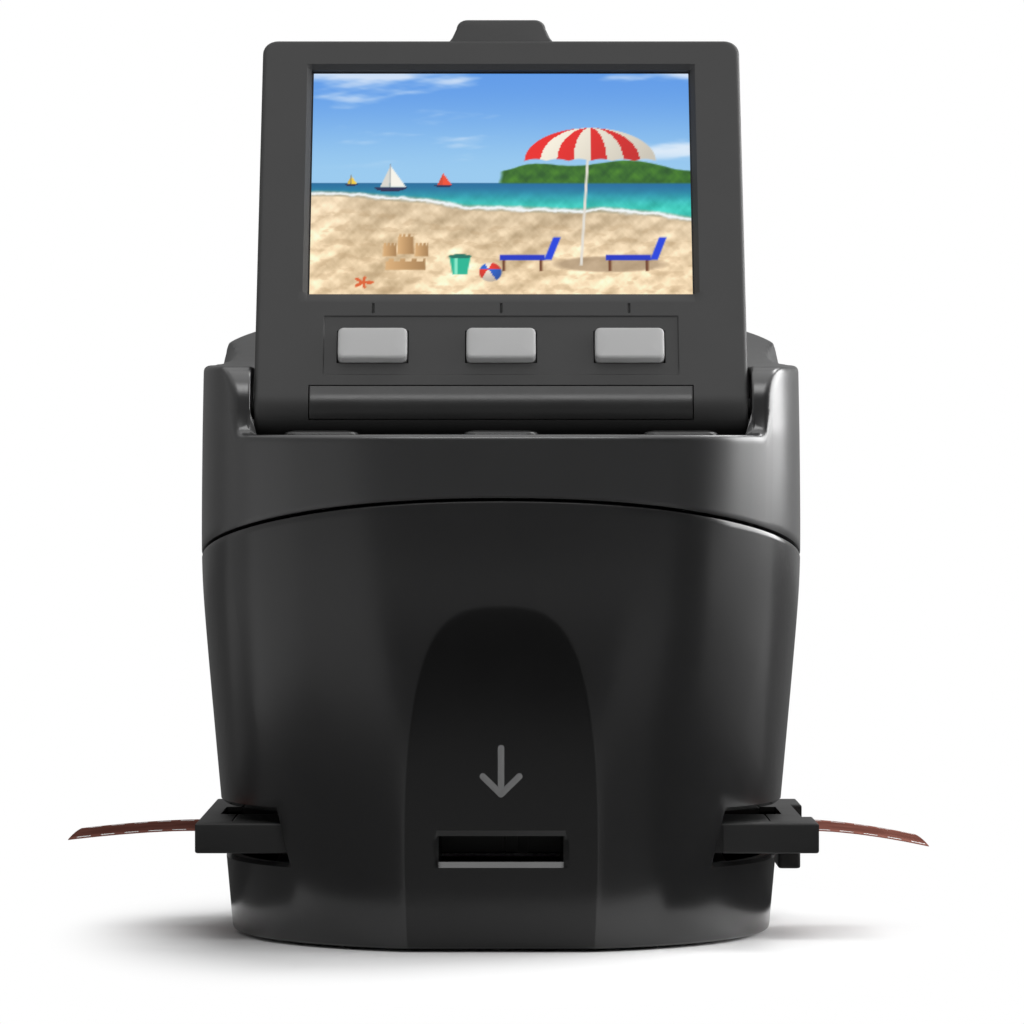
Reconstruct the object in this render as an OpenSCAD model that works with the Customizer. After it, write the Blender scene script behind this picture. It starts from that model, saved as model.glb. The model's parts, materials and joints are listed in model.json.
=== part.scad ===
// Desktop film scanner with a tilting screen.
// X is the width (to the right as seen from the front), Y runs from front to back, Z is up.
// The origin is on the resting plane, under the middle of the casing.

/* [Casing] */
// Thickness of each ear beside the screen unit
ear_w = 11.7; // [10:0.1:14]
// Depth of the deck in front of the hinge axis
deck_depth = 24; // [23.6:0.1:27]
// Depth of the rear hood behind the well
hood_depth = 17.9; // [16:0.1:24]
// Height of the front lip
lip_z = 99.4; // [97:0.1:120]
// Height at which the casing is widest
wide_z = 72; // [62:1:80]
// Wall thickness of the casing shells
wall = 2.5; // [2:0.1:3]
// How far the rubber feet stand below the casing
foot_gap = 0.6; // [0.4:0.1:1.2]
// Depth of the joint line below the front lip
seam_below = 12.4; // [11:0.1:15]
// Shadow gap between the two casing shells
seam_gap = 0.4; // [0.2:0.1:0.8]

/* [Screen unit] */
// Picture width
picture_w = 75.2; // [70:0.2:91]
// Picture height
picture_h = 52.3; // [48:0.1:63]
// Bezel beside the picture
side_border = 10.3; // [10:0.1:12]
// Bezel above the picture
top_border = 7.2; // [6.5:0.1:10]
// Lower edge of the picture, from the hinge axis
picture_low = 23.5; // [21.5:0.1:26]
// Lean of the raised screen from upright, in degrees
screen_tilt = 30; // [24:1:36]
// Radius of the hinge barrel, and the face's distance from the axis
barrel_r = 6; // [5.7:0.1:7.2]
// Gap between the screen unit and each ear
ear_gap = 0.6; // [0.4:0.1:1]

/* [Keys] */
// Soft key width
soft_key_w = 13.5; // [11:0.1:17]
// Soft key height
soft_key_h = 6.9; // [5:0.1:7.5]
// Distance between soft keys
soft_key_pitch = 25; // [20:0.5:26]
// Deck key length
deck_key_l = 14.4; // [10:0.1:14.6]
// Deck key width
deck_key_w = 5; // [4:0.1:5.2]
// Distance between deck keys
deck_key_pitch = 34.6; // [24:0.1:35]

/* [Film adapter] */
// How far each end of the adapter stops inside the casing's widest width
adapter_short = 0.7; // [-4:0.1:3]
// Depth of the adapter from front to back
adapter_d = 81.2; // [66:0.2:84]
// Thickness of the adapter
adapter_t = 5.9; // [5:0.1:7.2]
// Height of the adapter's underside
adapter_z = 18.1; // [17.5:0.1:19]
// Length of film that hangs out at each end
film_out = 24; // [10:0.5:40]

/* [Hidden] */
$fn = 48;
eps = 0.02;
far = 200;

// Overall sizes
screen_w = picture_w + 2 * side_border;
screen_l = picture_low + picture_h + top_border;
screen_back_t = 5.5;
body_w = screen_w + 2 * (ear_w + ear_gap);
fold_gap = 1.1;
body_d = deck_depth + screen_l + fold_gap + hood_depth;
hinge_front = body_d / 2 - deck_depth;
hinge_z = lip_z + barrel_r - 0.9;
ear_z = hinge_z + 8.4;
seam_z = lip_z - seam_below;

// Casing outline
side_draft = 0.087;
top_draft = 0.019;
draft_blend = 8;
outline_n_low = 2.05;
outline_n_high = 3.2;
outline_high_z = 100;
outline_points = 72;
outline_step = 0.6;
casing_low = foot_gap;
levels = [
    casing_low, 14, 27, 40, 52, 62, 70, 78, 88, lip_z + outline_step, lip_z + outline_step + 14,
    lip_z + outline_step + 30,
];
seam_drop_side = 4.84;
seam_fall = 8.2;
seam_slope = seam_fall / (body_d / 2);
seam_r = (pow(body_w / 2, 2) + pow(seam_drop_side, 2)) / (2 * seam_drop_side);

// Rim of the upper shell
rim_curve = 0.00142;
rim_start_y = 3 - hinge_front;
ear_front = hinge_front + barrel_r + 0.3;
roof = 2.2;
well_x = screen_w / 2 + ear_gap;
well_front = -(hinge_front + 7.6);
well_back = -hinge_front + screen_l + fold_gap;
well_wall = 2.2;
well_depth = 12;
tab_notch_w = 25;
tab_notch_l = 5.4;
finger_size = [14.1, 40, 24];
finger_facets = 40;
finger_x = body_w / 2 + 6.5;
finger_y = 47 - hinge_front;
finger_z = ear_z + 15.1;

// Top tray
tray_t = 2;
tray_low_z = hinge_z - barrel_r - 0.8;
tray_slope_y = 7.5 - hinge_front;
tray_slope = 0.1224;
tray_fit = 0.1;
tray_step_t = 1.1;

// Film channel
channel_half = adapter_d / 2 + 0.9;
channel_low = adapter_z - 1.9;
channel_high = adapter_z + adapter_t + 2.4;
guide_t = 2.4;
slide_fit = 0.3;
rail_in = 4.2;
rail_half_l = 35;
guide_wall = 2.6;
guide_fit = 0.3;
guide_half_l = 44;
upper_guide_low = channel_high + 0.2;
guide_post_x = 26;
guide_post_y = channel_half - 5.9;
guide_pin_y = channel_half + guide_wall / 2;
guide_screw_r = 0.8;
guide_screw_head = 1.6;
guide_head_t = 1.1;
guide_margin = 3;
guide_screw_l = 7;
guide_post_r = 2.6;

// Front scoop and index window
scoop_top_z = 66.6;
scoop_low_z = 2.1;
scoop_foot_y = body_d / 2 - 9;
scoop_head_y = body_d / 2 - 0.7;
scoop_half_w = 22;
scoop_back_t = 5;
window_z = adapter_z + 1.9;
window_w = 26.1;
window_h = 7.2;
window_bevel = 1.1;
arrow_top_z = 40.1;
arrow_len = 10.2;
arrow_stroke = 1.25;
arrow_head = 4.1;
arrow_proud = 0.15;

// Rear ports
port_z = adapter_z + adapter_t + 27.6;
port_face_y = body_d / 2 - 9;
port_recess_w = 66;
port_recess_low = port_z - 5.6;
port_recess_high = port_z + 10.4;
board_t = 1.6;
board_half_w = 39;
board_front = 19;
board_post_x = 35.8;
board_post_r = 2.6;
board_screw_r = 1;
board_screw_l = 6;
board_head_r = 1.9;
board_head_t = 1.2;
board_post_y = [22, 40];
usb_x = -24;
usb_size = [9, 8.4, 3.3];
hdmi_x = -6;
hdmi_size = [11.2, 8.4, 3.4];
card_x = 17.5;
card_size = [27, 29, 3.2];
port_fit = 0.3;

// Posts and screws
base_screw_x = body_w / 2 - 26.6;
base_screw_y = body_d / 2 - 29.5;
base_head_z = casing_low + 0.2;
boss_r = 3.4;
base_boss_top = 13;
screw_r = 1.4;
screw_fit = 0.05;
screw_head_r = 2.6;
screw_head_t = 1.4;
foot_x = body_w / 2 - 34.6;
foot_y = body_d / 2 - 22;
foot_r = 5;
foot_t = 1.4;
plate_t = 2.4;
shell_screw_x = body_w / 2 - 12.6;
shell_rib_t = 2.4;
shell_boss_top = 90;
skirt_fit = 0.15;
skirt_t = 1.1;
skirt_drop = 3;
skirt_rise = 4;
skirt_step = 0.4;
shell_screw_y = 14;
shell_tab_z = 59;
shell_tab_t = 3;

// Light under the film
light_half_w = 29;
light_half_d = 20;
light_wall = 1.6;
led_board_t = 1.2;
led_pitch = 11;

// Camera
tower_low_r = 22;
tower_high_r = 12;
tower_low = upper_guide_low + guide_t;
tower_high = adapter_z + adapter_t + 34;
tower_wall = 1.6;
tower_flange_t = 2;
lens_r = 6;
lens_t = 3.5;
lens_fit = 0.02;
lens_holder_r = 9;
sensor_half = 15;
chip_half = 4.5;
sensor_z = tower_high + 10;
lens_z = tower_high + 3;

// Screen unit, in its own frame: X width, -Y towards the user, Z along the screen from the hinge axis
face_y = -barrel_r;
split_y = 0.5;
bezel_wall = 1.8;
front_t = 1.7;
corner_r = 3;
bevel_side = 1.3;
bevel_top = 1.3;
bevel_low = 2.4;
window_t = 1;
window_lap = 1.2;
display_t = 1.8;
screen_board_y = -1.3;
screen_board_w = picture_w + 0.8;
screen_board_low = barrel_r + 3.5;
screen_post_x = screen_w / 2 - 4.6;
screen_post_z = [13, screen_l - 7];
screen_post_r = 2.3;
screen_screw_r = 1;
screen_head_r = 1.9;
tab_low_w = 21.2;
tab_high_w = 17.4;
tab_h = 5.4;
tab_t = 2.6;
panel_w = 69.3;
panel_low = 4.2;
panel_high = 17.7;
panel_depth = 0.5;
soft_key_z = 7.2;
soft_key_fit = 0.25;
soft_key_proud = 1.9;
soft_key_travel = 0.6;
flange_t = 0.8;
flange_lap = 1.2;
flange_drop = 0.1;
flange_rise = 0.8;
soft_switch_t = 0.9;
plunger_r = 1.2;
cover_half_w = 37.35;
cover_t = 1.1;
cover_top = 1.9;
cover_low = 4.76;
cover_fit = 0.15;
pin_r = 2;
pin_fit = 0.03;
pin_in = 36;
bush_r = 4;
bush_l = 3.4;
bush_fit = 0.15;

// Deck keys
deck_key_y = -(hinge_front + 10.5);
scan_key_forward = 2;
deck_flange = 0.5;
deck_key_top = lip_z + 1;
deck_key_travel = 0.8;
deck_key_fit = 0.25;
key_board_top = lip_z - 6.8;
key_board_x = deck_key_pitch + 9;
key_board_y = [deck_key_y - 6.2, deck_key_y + 3];
key_post_x = deck_key_pitch / 2 + 0.5;
key_post_y = deck_key_y;
key_screw_r = 0.9;
switch_size = 4.5;
switch_t = 1.9;

// Film adapter
adapter_right = body_w / 2 - adapter_short;
adapter_left = -adapter_right;
grip_l = 2.3;
grip_in = 20;
lug_low = 10.5;
lug_w = 16;
lug_x = 4.6;
lid_half_l = adapter_right - 6.9;
lid_half_d = adapter_d / 2 - 6.6;
lid_t = 2.7;
lid_fit = 0.2;
lid_pin_back = 1.6;
lid_pin_down = 1.5;
lid_lug_x = lid_half_l - 18;
lid_lug_half = 5.7;
lid_lug_back = 2.9;
film_z = adapter_z + adapter_t / 2;
film_t = 0.2;
film_groove = 0.3;
film_w = 35;
film_flat = adapter_right + 2.5;
film_l = 2 * (film_flat + film_out);
film_droop_left = 1.8;
film_droop_right = 3.1;
frame_w = 36;
frame_h = 24;
frame_pitch = 38;
lid_pin_r = 0.8;
lid_pin_fit = 0.05;
mark_x = 0.4;
mark_w = 0.6;
mark_deep = 0.4;
notch_x = 3.2;
notch_w = 2;
notch_deep = 1.2;

function blend(u) = (u + sqrt(u * u + draft_blend * draft_blend)) / 2;
function draft_at(z) = side_draft * blend(wide_z - z) + top_draft * blend(z - wide_z);
function half_w(z) = body_w / 2 - draft_at(z);
function half_d(z) = body_d / 2 - draft_at(z);
function outline_n(z) =
    outline_n_low + (outline_n_high - outline_n_low) * min(z, outline_high_z) / outline_high_z;
function signed_power(v, p) = sign(v) * pow(abs(v), p);
// Superellipse round the casing at height z, set in from the outer face
function outline(z, inset) = [
    for (i = [0 : outline_points - 1])
        let (a = 360 * i / outline_points, p = 2 / outline_n(z))
        [(half_w(z) - inset) * signed_power(cos(a), p), (half_d(z) - inset) * signed_power(sin(a), p)]
];
function rim_z(y) = ear_z + rim_curve * pow(max(0, y - rim_start_y), 2);
function tray_z(y) = tray_low_z + 1.1 + tray_slope * max(0, y - tray_slope_y);
function scoop_y(z) =
    -(scoop_foot_y + (scoop_head_y - scoop_foot_y) * (z - scoop_low_z) / (scoop_top_z - scoop_low_z));

module both_sides() {
    children();
    mirror([1, 0, 0]) children();
}

module four_corners(x, y) {
    for (sx = [-1, 1]) for (sy = [-1, 1]) translate([sx * x, sy * y, 0]) children();
}

// Box given by its low corner and high corner
module span(low, high) {
    translate(low) cube(high - low);
}

// Solid casing between the levels, set in by inset
module casing_solid(inset) {
    for (i = [0 : len(levels) - 2]) hull() {
        translate([0, 0, levels[i]]) linear_extrude(eps) polygon(outline(levels[i], inset));
        translate([0, 0, levels[i + 1] - eps]) linear_extrude(eps) polygon(outline(levels[i + 1], inset));
    }
}

// Everything under the arched joint surface, moved up by lift
module below_seam(lift) {
    top = seam_z + lift - seam_slope * body_d / 2;
    intersection() {
        multmatrix([[1, 0, 0, 0], [0, 1, 0, 0], [0, -seam_slope, 1, top - seam_r], [0, 0, 0, 1]])
            rotate([90, 0, 0]) cylinder(r = seam_r, h = far, center = true, $fn = 400);
        span([-far, -far, -10], [far, far, seam_z + 20]);
    }
}

// Side profile of the rim, extruded across the casing: everything above it is open
module above_rim(lift) {
    front = [
        [-far, lip_z], [-ear_front - 2.2, lip_z], [-ear_front - 0.9, lip_z + 0.5], [-ear_front - 0.2, lip_z + 1.8],
        [-ear_front + 0.1, lip_z + 5], [-ear_front + 0.6, lip_z + 8.2], [-ear_front + 1.7, lip_z + 10.6],
        [-ear_front + 3.4, lip_z + 12.4], [-ear_front + 5.8, lip_z + 13.3],
    ];
    back = [for (y = [rim_start_y : 6 : body_d / 2 + 6]) [y, rim_z(y)]];
    translate([-far, 0, lift]) rotate([90, 0, 90]) linear_extrude(2 * far)
        polygon(concat(front, back, [[far, rim_z(body_d / 2 + 6)], [far, far], [-far, far]]));
}

// The well that the screen folds into
module well(grow) {
    span([-well_x - grow, well_front - grow, tray_low_z - well_depth], [well_x + grow, well_back + grow, far]);
    span([-tab_notch_w / 2 - grow, 0, tray_z(well_back) + 3 - grow],
         [tab_notch_w / 2 + grow, well_back + tab_notch_l + grow, far]);
}

module finger_scoops(grow) {
    size = finger_size + [grow, grow, grow];
    both_sides() translate([finger_x, finger_y, finger_z]) scale(size) sphere(r = 1, $fn = finger_facets);
}

module front_scoop() {
    foot_z = -1;
    rotate([90, 0, 90]) linear_extrude(2 * scoop_half_w, center = true)
        polygon([
            [scoop_y(foot_z), foot_z], [scoop_y(scoop_top_z), scoop_top_z],
            [-far, scoop_top_z], [-far, foot_z],
        ]);
}

module index_window() {
    y = scoop_y(window_z);
    hull() {
        translate([0, y - 2, window_z]) cube([window_w, eps, window_h], center = true);
        translate([0, y, window_z]) cube([window_w, eps, window_h], center = true);
        translate([0, y + 1.6, window_z])
            cube([window_w - 2 * window_bevel, eps, window_h - 2 * window_bevel], center = true);
    }
    span([-window_w / 2 + window_bevel, y - 2, window_z - window_h / 2 + window_bevel],
         [window_w / 2 - window_bevel, -channel_half + 1, window_z + window_h / 2 - window_bevel]);
}

module film_channel() {
    span([-far, -channel_half, channel_low], [far, channel_half, channel_high]);
}

module port_recess() {
    span([-port_recess_w / 2, port_face_y, port_recess_low], [port_recess_w / 2, far, port_recess_high]);
}

module port_holes() {
    for (p = [[usb_x, usb_size], [hdmi_x, hdmi_size]])
        span([p[0] - p[1][0] / 2 - port_fit, port_face_y - 2 * wall, port_z - port_fit],
             [p[0] + p[1][0] / 2 + port_fit, far, port_z + p[1][2] + port_fit]);
    span([card_x - card_size[0] / 2 - port_fit, port_face_y - 2 * wall, port_z - port_fit],
         [card_x + card_size[0] / 2 + port_fit, far, port_z + card_size[2] + port_fit]);
}

// Solid wall kept behind the scoop
module scoop_backing(grow) {
    half = scoop_half_w + scoop_back_t + grow;
    span([-half, -far, -far], [half, scoop_y(window_z) + scoop_back_t + grow, scoop_top_z + 4]);
}

module lower_cavity() {
    floor_z = casing_low + plate_t;
    difference() {
        casing_solid(wall);
        scoop_backing(0);
        span([-port_recess_w / 2 - 1.5, port_face_y - wall, port_recess_low - wall],
             [port_recess_w / 2 + 1.5, far, port_recess_high + wall]);
        four_corners(base_screw_x, base_screw_y)
            translate([0, 0, floor_z]) cylinder(r = boss_r, h = base_boss_top - floor_z);
        for (sy = [-1, 1]) both_sides() {
            span([base_screw_x, sy * base_screw_y - shell_rib_t / 2, floor_z],
                 [far, sy * base_screw_y + shell_rib_t / 2, base_boss_top]);
            span([shell_screw_x - boss_r - 0.6, sy * shell_screw_y - boss_r - 0.6, shell_tab_z],
                 [far, sy * shell_screw_y + boss_r + 0.6, shell_tab_z + shell_tab_t]);
        }
    }
}

module lower_shell() {
    color([0.06, 0.06, 0.065])
    difference() {
        intersection() {
            casing_solid(0);
            below_seam(-seam_gap / 2);
        }
        lower_cavity();
        front_scoop();
        index_window();
        film_channel();
        port_recess();
        port_holes();
        four_corners(base_screw_x, base_screw_y) cylinder(r = screw_r + screw_fit, h = base_boss_top - 1);
        four_corners(shell_screw_x, shell_screw_y) translate([0, 0, shell_tab_z - 1])
            cylinder(r = screw_r + 0.2, h = shell_tab_t + 2);
        arrow_shape(0.05, 1);
    }
}

module upper_cavity() {
    difference() {
        casing_solid(wall);
        above_rim(-roof);
        well(well_wall);
        finger_scoops(wall - 0.4);
        both_sides() translate([well_x, -hinge_front, hinge_z]) rotate([0, 90, 0])
            cylinder(r = bush_r + 2.2, h = far);
        four_corners(shell_screw_x, shell_screw_y) cylinder(r = boss_r, h = far);
    }
}

// Inner lip of the upper shell, which reaches down behind the lower shell's edge
module skirt() {
    difference() {
        union() {
            difference() {
                casing_solid(wall + skirt_fit);
                below_seam(-skirt_drop);
            }
            difference() {
                casing_solid(wall - 0.1);
                below_seam(seam_gap / 2 + skirt_step);
            }
        }
        casing_solid(wall + skirt_fit + skirt_t);
        difference() {
            casing_solid(-1);
            below_seam(skirt_rise);
        }
    }
}

module upper_shell() {
    boss_low = shell_tab_z + shell_tab_t + 0.05;
    color([0.1, 0.1, 0.105])
    difference() {
        union() {
            difference() {
                casing_solid(0);
                below_seam(seam_gap / 2);
                upper_cavity();
                intersection() {
                    well(0);
                    union() {
                        casing_solid(wall);
                        span([-well_x, well_back - 20, 0], [well_x, well_back + tab_notch_l, far]);
                    }
                }
                intersection() {
                    casing_solid(wall);
                    span([-well_x, -far, tray_low_z - well_depth], [well_x, well_front + 1, far]);
                }
            }
            skirt();
            four_corners(shell_screw_x, shell_screw_y) translate([0, 0, boss_low])
                cylinder(r = boss_r, h = shell_boss_top - boss_low);
        }
        above_rim(0);
        finger_scoops(0);
        both_sides() translate([well_x - 1, -hinge_front, hinge_z]) rotate([0, 90, 0])
            cylinder(r = bush_r + bush_fit, h = bush_l + 1.1);
        four_corners(shell_screw_x, shell_screw_y)
            cylinder(r = screw_r + screw_fit, h = shell_tab_z + 14);
    }
}

module base_plate() {
    color([0.05, 0.05, 0.05])
    difference() {
        union() {
            translate([0, 0, casing_low]) linear_extrude(plate_t) polygon(outline(casing_low, wall + 0.25));
            four_corners(guide_post_x, guide_post_y) translate([0, 0, casing_low + plate_t - eps])
                cylinder(r = guide_post_r, h = channel_low - guide_t - casing_low - plate_t + eps);
        }
        scoop_backing(0.2);
        four_corners(base_screw_x, base_screw_y) {
            cylinder(r = screw_r + 0.2, h = casing_low + plate_t + 1);
            cylinder(r = screw_head_r + 0.2, h = base_head_z + screw_head_t);
        }
        four_corners(foot_x, foot_y) cylinder(r = foot_r + 0.1, h = foot_t);
        four_corners(guide_post_x, guide_post_y) translate([0, 0, channel_low - guide_t - guide_screw_l])
            cylinder(r = guide_screw_r + screw_fit, h = far);
    }
}

module rubber_feet() {
    color([0.16, 0.16, 0.16]) four_corners(foot_x, foot_y) cylinder(r = foot_r, h = foot_t);
}

// Screw with its head down at z = 0
module screw(r, length, head_r, head_t) {
    cylinder(r = head_r, h = head_t);
    translate([0, 0, head_t - eps]) cylinder(r = r, h = length + eps);
}

module base_screws() {
    color("silver") four_corners(base_screw_x, base_screw_y) translate([0, 0, base_head_z])
        screw(screw_r, base_boss_top - 4, screw_head_r, screw_head_t);
}

module shell_screws() {
    color("silver") four_corners(shell_screw_x, shell_screw_y)
        translate([0, 0, shell_tab_z - screw_head_t]) screw(screw_r, 10, screw_head_r, screw_head_t);
}

module tray_profile() {
    back = well_back - tray_fit;
    step_y = well_front + 1.6;
    rotate([90, 0, 90]) linear_extrude(2 * (well_x - tray_fit), center = true)
        polygon([
            [-far, lip_z], [step_y, lip_z], [step_y, tray_low_z],
            [tray_slope_y - 1.5, tray_low_z], [tray_slope_y, tray_low_z + 1.1], [back, tray_z(back)],
            [back, tray_z(back) - tray_t], [tray_slope_y + 0.4, tray_low_z + 1.1 - tray_t],
            [tray_slope_y - 1.1, tray_low_z - tray_t], [step_y - tray_step_t, tray_low_z - tray_t],
            [step_y - tray_step_t, lip_z - tray_t], [-far, lip_z - tray_t],
        ]);
}

module top_tray() {
    color([0.07, 0.07, 0.075])
    difference() {
        union() {
            intersection() {
                tray_profile();
                translate([0, 0, tray_low_z - well_depth]) linear_extrude(60)
                    polygon(outline(lip_z - tray_t, wall + 0.15));
            }
            for (x = [-key_post_x, key_post_x])
                translate([x, key_post_y, key_board_top]) cylinder(r = 2, h = lip_z - 0.5 - key_board_top);
        }
        for (k = [-1, 0, 1]) translate([k * deck_key_pitch, deck_key_at(k), 0])
            linear_extrude(far) key_outline(deck_key_fit);
        for (x = [-key_post_x, key_post_x])
            translate([x, key_post_y, key_board_top - 1]) cylinder(r = key_screw_r + screw_fit, h = 5);
    }
}

function deck_key_at(k) = deck_key_y - (k == 0 ? scan_key_forward : 0);

// Stadium outline of a deck key, grown all round
module key_outline(grow) {
    r = deck_key_w / 2 + grow;
    hull() for (s = [-1, 1]) translate([s * (deck_key_l - deck_key_w) / 2, 0]) circle(r = r, $fn = 32);
}

// The arrow lies in the sloping face of the scoop
module arrow_shape(grow, deep) {
    lean = atan2(scoop_head_y - scoop_foot_y, scoop_top_z - scoop_low_z);
    r = arrow_stroke / 2 + grow;
    translate([0, scoop_y(arrow_top_z), arrow_top_z]) rotate([lean, 0, 0]) rotate([90, 0, 0])
    translate([0, 0, -deep]) linear_extrude(deep + arrow_proud) {
        hull() for (z = [-r, r - arrow_len]) translate([0, z]) circle(r = r, $fn = 24);
        for (s = [-1, 1]) hull() {
            translate([0, r - arrow_len]) circle(r = r, $fn = 24);
            translate([s * (arrow_head - r), arrow_head - arrow_len]) circle(r = r, $fn = 24);
        }
    }
}

module arrow_mark() {
    color([0.36, 0.36, 0.36]) arrow_shape(0, 0.6);
}

module hinge_bushes() {
    color([0.75, 0.75, 0.72]) both_sides() translate([well_x, -hinge_front, hinge_z]) rotate([0, 90, 0])
    difference() {
        cylinder(r = bush_r, h = bush_l);
        translate([0, 0, -1]) cylinder(r = pin_r + pin_fit, h = bush_l + 2);
    }
}

module guide_plate(low, inset) {
    half = channel_half + guide_wall + guide_margin;
    intersection() {
        translate([0, 0, low]) linear_extrude(guide_t) polygon(outline(low, inset));
        span([-guide_half_l, -half, 0], [guide_half_l, half, far]);
    }
}

// Box mirrored to the front and the rear, between two distances from the middle plane
module front_and_rear(half, y_in, y_out, low, high) {
    for (m = [0, 1]) mirror([0, m, 0]) span([-half, y_in, low], [half, y_out, high]);
}

module lower_guide() {
    low = channel_low - guide_t;
    color([0.13, 0.13, 0.13])
    difference() {
        union() {
            guide_plate(low, wall + guide_fit);
            front_and_rear(rail_half_l, channel_half - rail_in, channel_half + eps, channel_low - eps,
                           adapter_z - slide_fit);
            front_and_rear(rail_half_l, channel_half, channel_half + guide_wall, channel_low - eps, upper_guide_low);
        }
        span([-light_half_w - 0.3, -light_half_d - 0.3, 0], [light_half_w + 0.3, light_half_d + 0.3, far]);
        span([-window_w / 2 - 1, -far, channel_low + 0.2], [window_w / 2 + 1, 0, channel_high - 1.4]);
        four_corners(guide_post_x, guide_post_y) {
            cylinder(r = guide_screw_r + 0.15, h = far);
            translate([0, 0, channel_low - guide_head_t - 0.1])
                cylinder(r = guide_screw_head + 0.1, h = far);
        }
        four_corners(guide_post_x, guide_pin_y) translate([0, 0, upper_guide_low - guide_screw_l])
            cylinder(r = guide_screw_r + screw_fit, h = far);
    }
}

module upper_guide() {
    color([0.13, 0.13, 0.13])
    difference() {
        union() {
            guide_plate(upper_guide_low, wall + guide_fit);
            front_and_rear(rail_half_l, channel_half - rail_in, channel_half - 0.2,
                           adapter_z + adapter_t + slide_fit, upper_guide_low + eps);
            board_posts() translate([0, 0, upper_guide_low + guide_t - eps])
                cylinder(r = board_post_r, h = port_z - board_t - upper_guide_low - guide_t + eps);
        }
        cylinder(r = tower_low_r - tower_wall, h = far);
        board_posts() translate([0, 0, port_z - board_screw_l - 4])
            cylinder(r = board_screw_r + screw_fit, h = far);
        tower_corners() cylinder(r = board_screw_r + screw_fit, h = far);
        four_corners(guide_post_x, guide_pin_y) cylinder(r = guide_screw_r + 0.15, h = far);
    }
}

module board_posts() {
    both_sides() for (y = board_post_y) translate([board_post_x, y, 0]) children();
}

module tower_corners() {
    for (a = [45 : 90 : 315]) rotate([0, 0, a]) translate([tower_low_r + 3, 0, 0]) children();
}

module guide_screws() {
    color("silver") {
        four_corners(guide_post_x, guide_post_y) translate([0, 0, channel_low - 0.1]) mirror([0, 0, 1])
            screw(guide_screw_r, guide_screw_l, guide_screw_head, guide_head_t);
        four_corners(guide_post_x, guide_pin_y) translate([0, 0, tower_low + guide_head_t]) mirror([0, 0, 1])
            screw(guide_screw_r, guide_screw_l, guide_screw_head, guide_head_t);
    }
}

module light_box() {
    low = casing_low + plate_t;
    color([0.9, 0.9, 0.9])
    difference() {
        span([-light_half_w - light_wall, -light_half_d - light_wall, low],
             [light_half_w + light_wall, light_half_d + light_wall, channel_low - guide_t - 0.1]);
        span([-light_half_w, -light_half_d, low + light_wall], [light_half_w, light_half_d, far]);
    }
}

module led_board() {
    low = casing_low + plate_t + light_wall;
    half = 1.5;
    color([0.85, 0.88, 0.85]) {
        span([-light_half_w + 1, -light_half_d + 1, low], [light_half_w - 1, light_half_d - 1, low + led_board_t]);
        for (x = [-2 : 2]) for (y = [-1 : 1])
            translate([x * led_pitch, y * led_pitch, 0])
            span([-half, -half, low + led_board_t - eps], [half, half, low + led_board_t + 0.8]);
    }
}

module diffuser() {
    color([0.95, 0.95, 0.93])
        span([-light_half_w, -light_half_d, channel_low - guide_t - 0.05], [light_half_w, light_half_d, channel_low + 0.8]);
}

module camera_tower() {
    color([0.09, 0.09, 0.09])
    difference() {
        union() {
            translate([0, 0, tower_low]) cylinder(r1 = tower_low_r, r2 = tower_high_r, h = tower_high - tower_low);
            translate([0, 0, tower_low]) cylinder(r = tower_low_r + 5.4, h = tower_flange_t);
            translate([0, 0, tower_high - 3]) cylinder(r = tower_high_r + 2, h = 3);
        }
        translate([0, 0, tower_low - eps])
            cylinder(r1 = tower_low_r - tower_wall, r2 = tower_high_r - tower_wall,
                     h = tower_high - tower_low + 2 * eps);
        tower_corners() cylinder(r = board_screw_r + 0.15, h = tower_low + tower_flange_t + 0.5);
        translate([0, 0, tower_high - 4.2]) cylinder(r = lens_holder_r + 0.1, h = 5);
    }
}

module tower_screws() {
    color("silver") tower_corners() translate([0, 0, tower_low + tower_flange_t + board_head_t]) mirror([0, 0, 1])
        screw(board_screw_r, 4, board_head_r, board_head_t);
}

module lens_holder() {
    color([0.05, 0.05, 0.05])
    difference() {
        union() {
            translate([0, 0, tower_high]) cylinder(r = tower_high_r + 2, h = 2);
            translate([0, 0, tower_high - 4]) cylinder(r = lens_holder_r, h = sensor_z - 1.8 - tower_high + 4);
        }
        translate([0, 0, tower_high - 5]) cylinder(r = lens_r - 1, h = 20);
        translate([0, 0, tower_high - 5]) cylinder(r = lens_r + lens_fit, h = lens_z - tower_high + 5);
    }
}

module lens_glass() {
    color([0.7, 0.8, 0.9, 0.5]) translate([0, 0, lens_z - lens_t]) intersection() {
        cylinder(r = lens_r, h = lens_t);
        translate([0, 0, 2 * lens_r + 0.5]) sphere(r = 2 * lens_r + 0.4);
    }
}

module sensor_board() {
    color([0.05, 0.25, 0.12]) span([-sensor_half, -sensor_half, sensor_z], [sensor_half, sensor_half, sensor_z + board_t]);
}

module image_sensor() {
    color([0.15, 0.15, 0.2]) span([-chip_half, -chip_half, sensor_z - 1.6], [chip_half, chip_half, sensor_z]);
}

module main_board() {
    color([0.05, 0.25, 0.12])
    difference() {
        intersection() {
            span([-board_half_w, board_front, port_z - board_t], [board_half_w, port_face_y - wall - 0.4, port_z]);
            translate([0, 0, port_z - 5]) linear_extrude(10) polygon(outline(port_z - board_t, wall + 0.5));
        }
        board_posts() translate([0, 0, port_z - 5]) cylinder(r = board_screw_r + 0.15, h = 10);
    }
}

module main_board_screws() {
    color("silver") board_posts() translate([0, 0, port_z + board_head_t]) mirror([0, 0, 1])
        screw(board_screw_r, board_screw_l, board_head_r, board_head_t);
}

module processor() {
    color([0.1, 0.1, 0.1]) span([-22, 26, port_z], [-8, 40, port_z + 1.4]);
}

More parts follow.
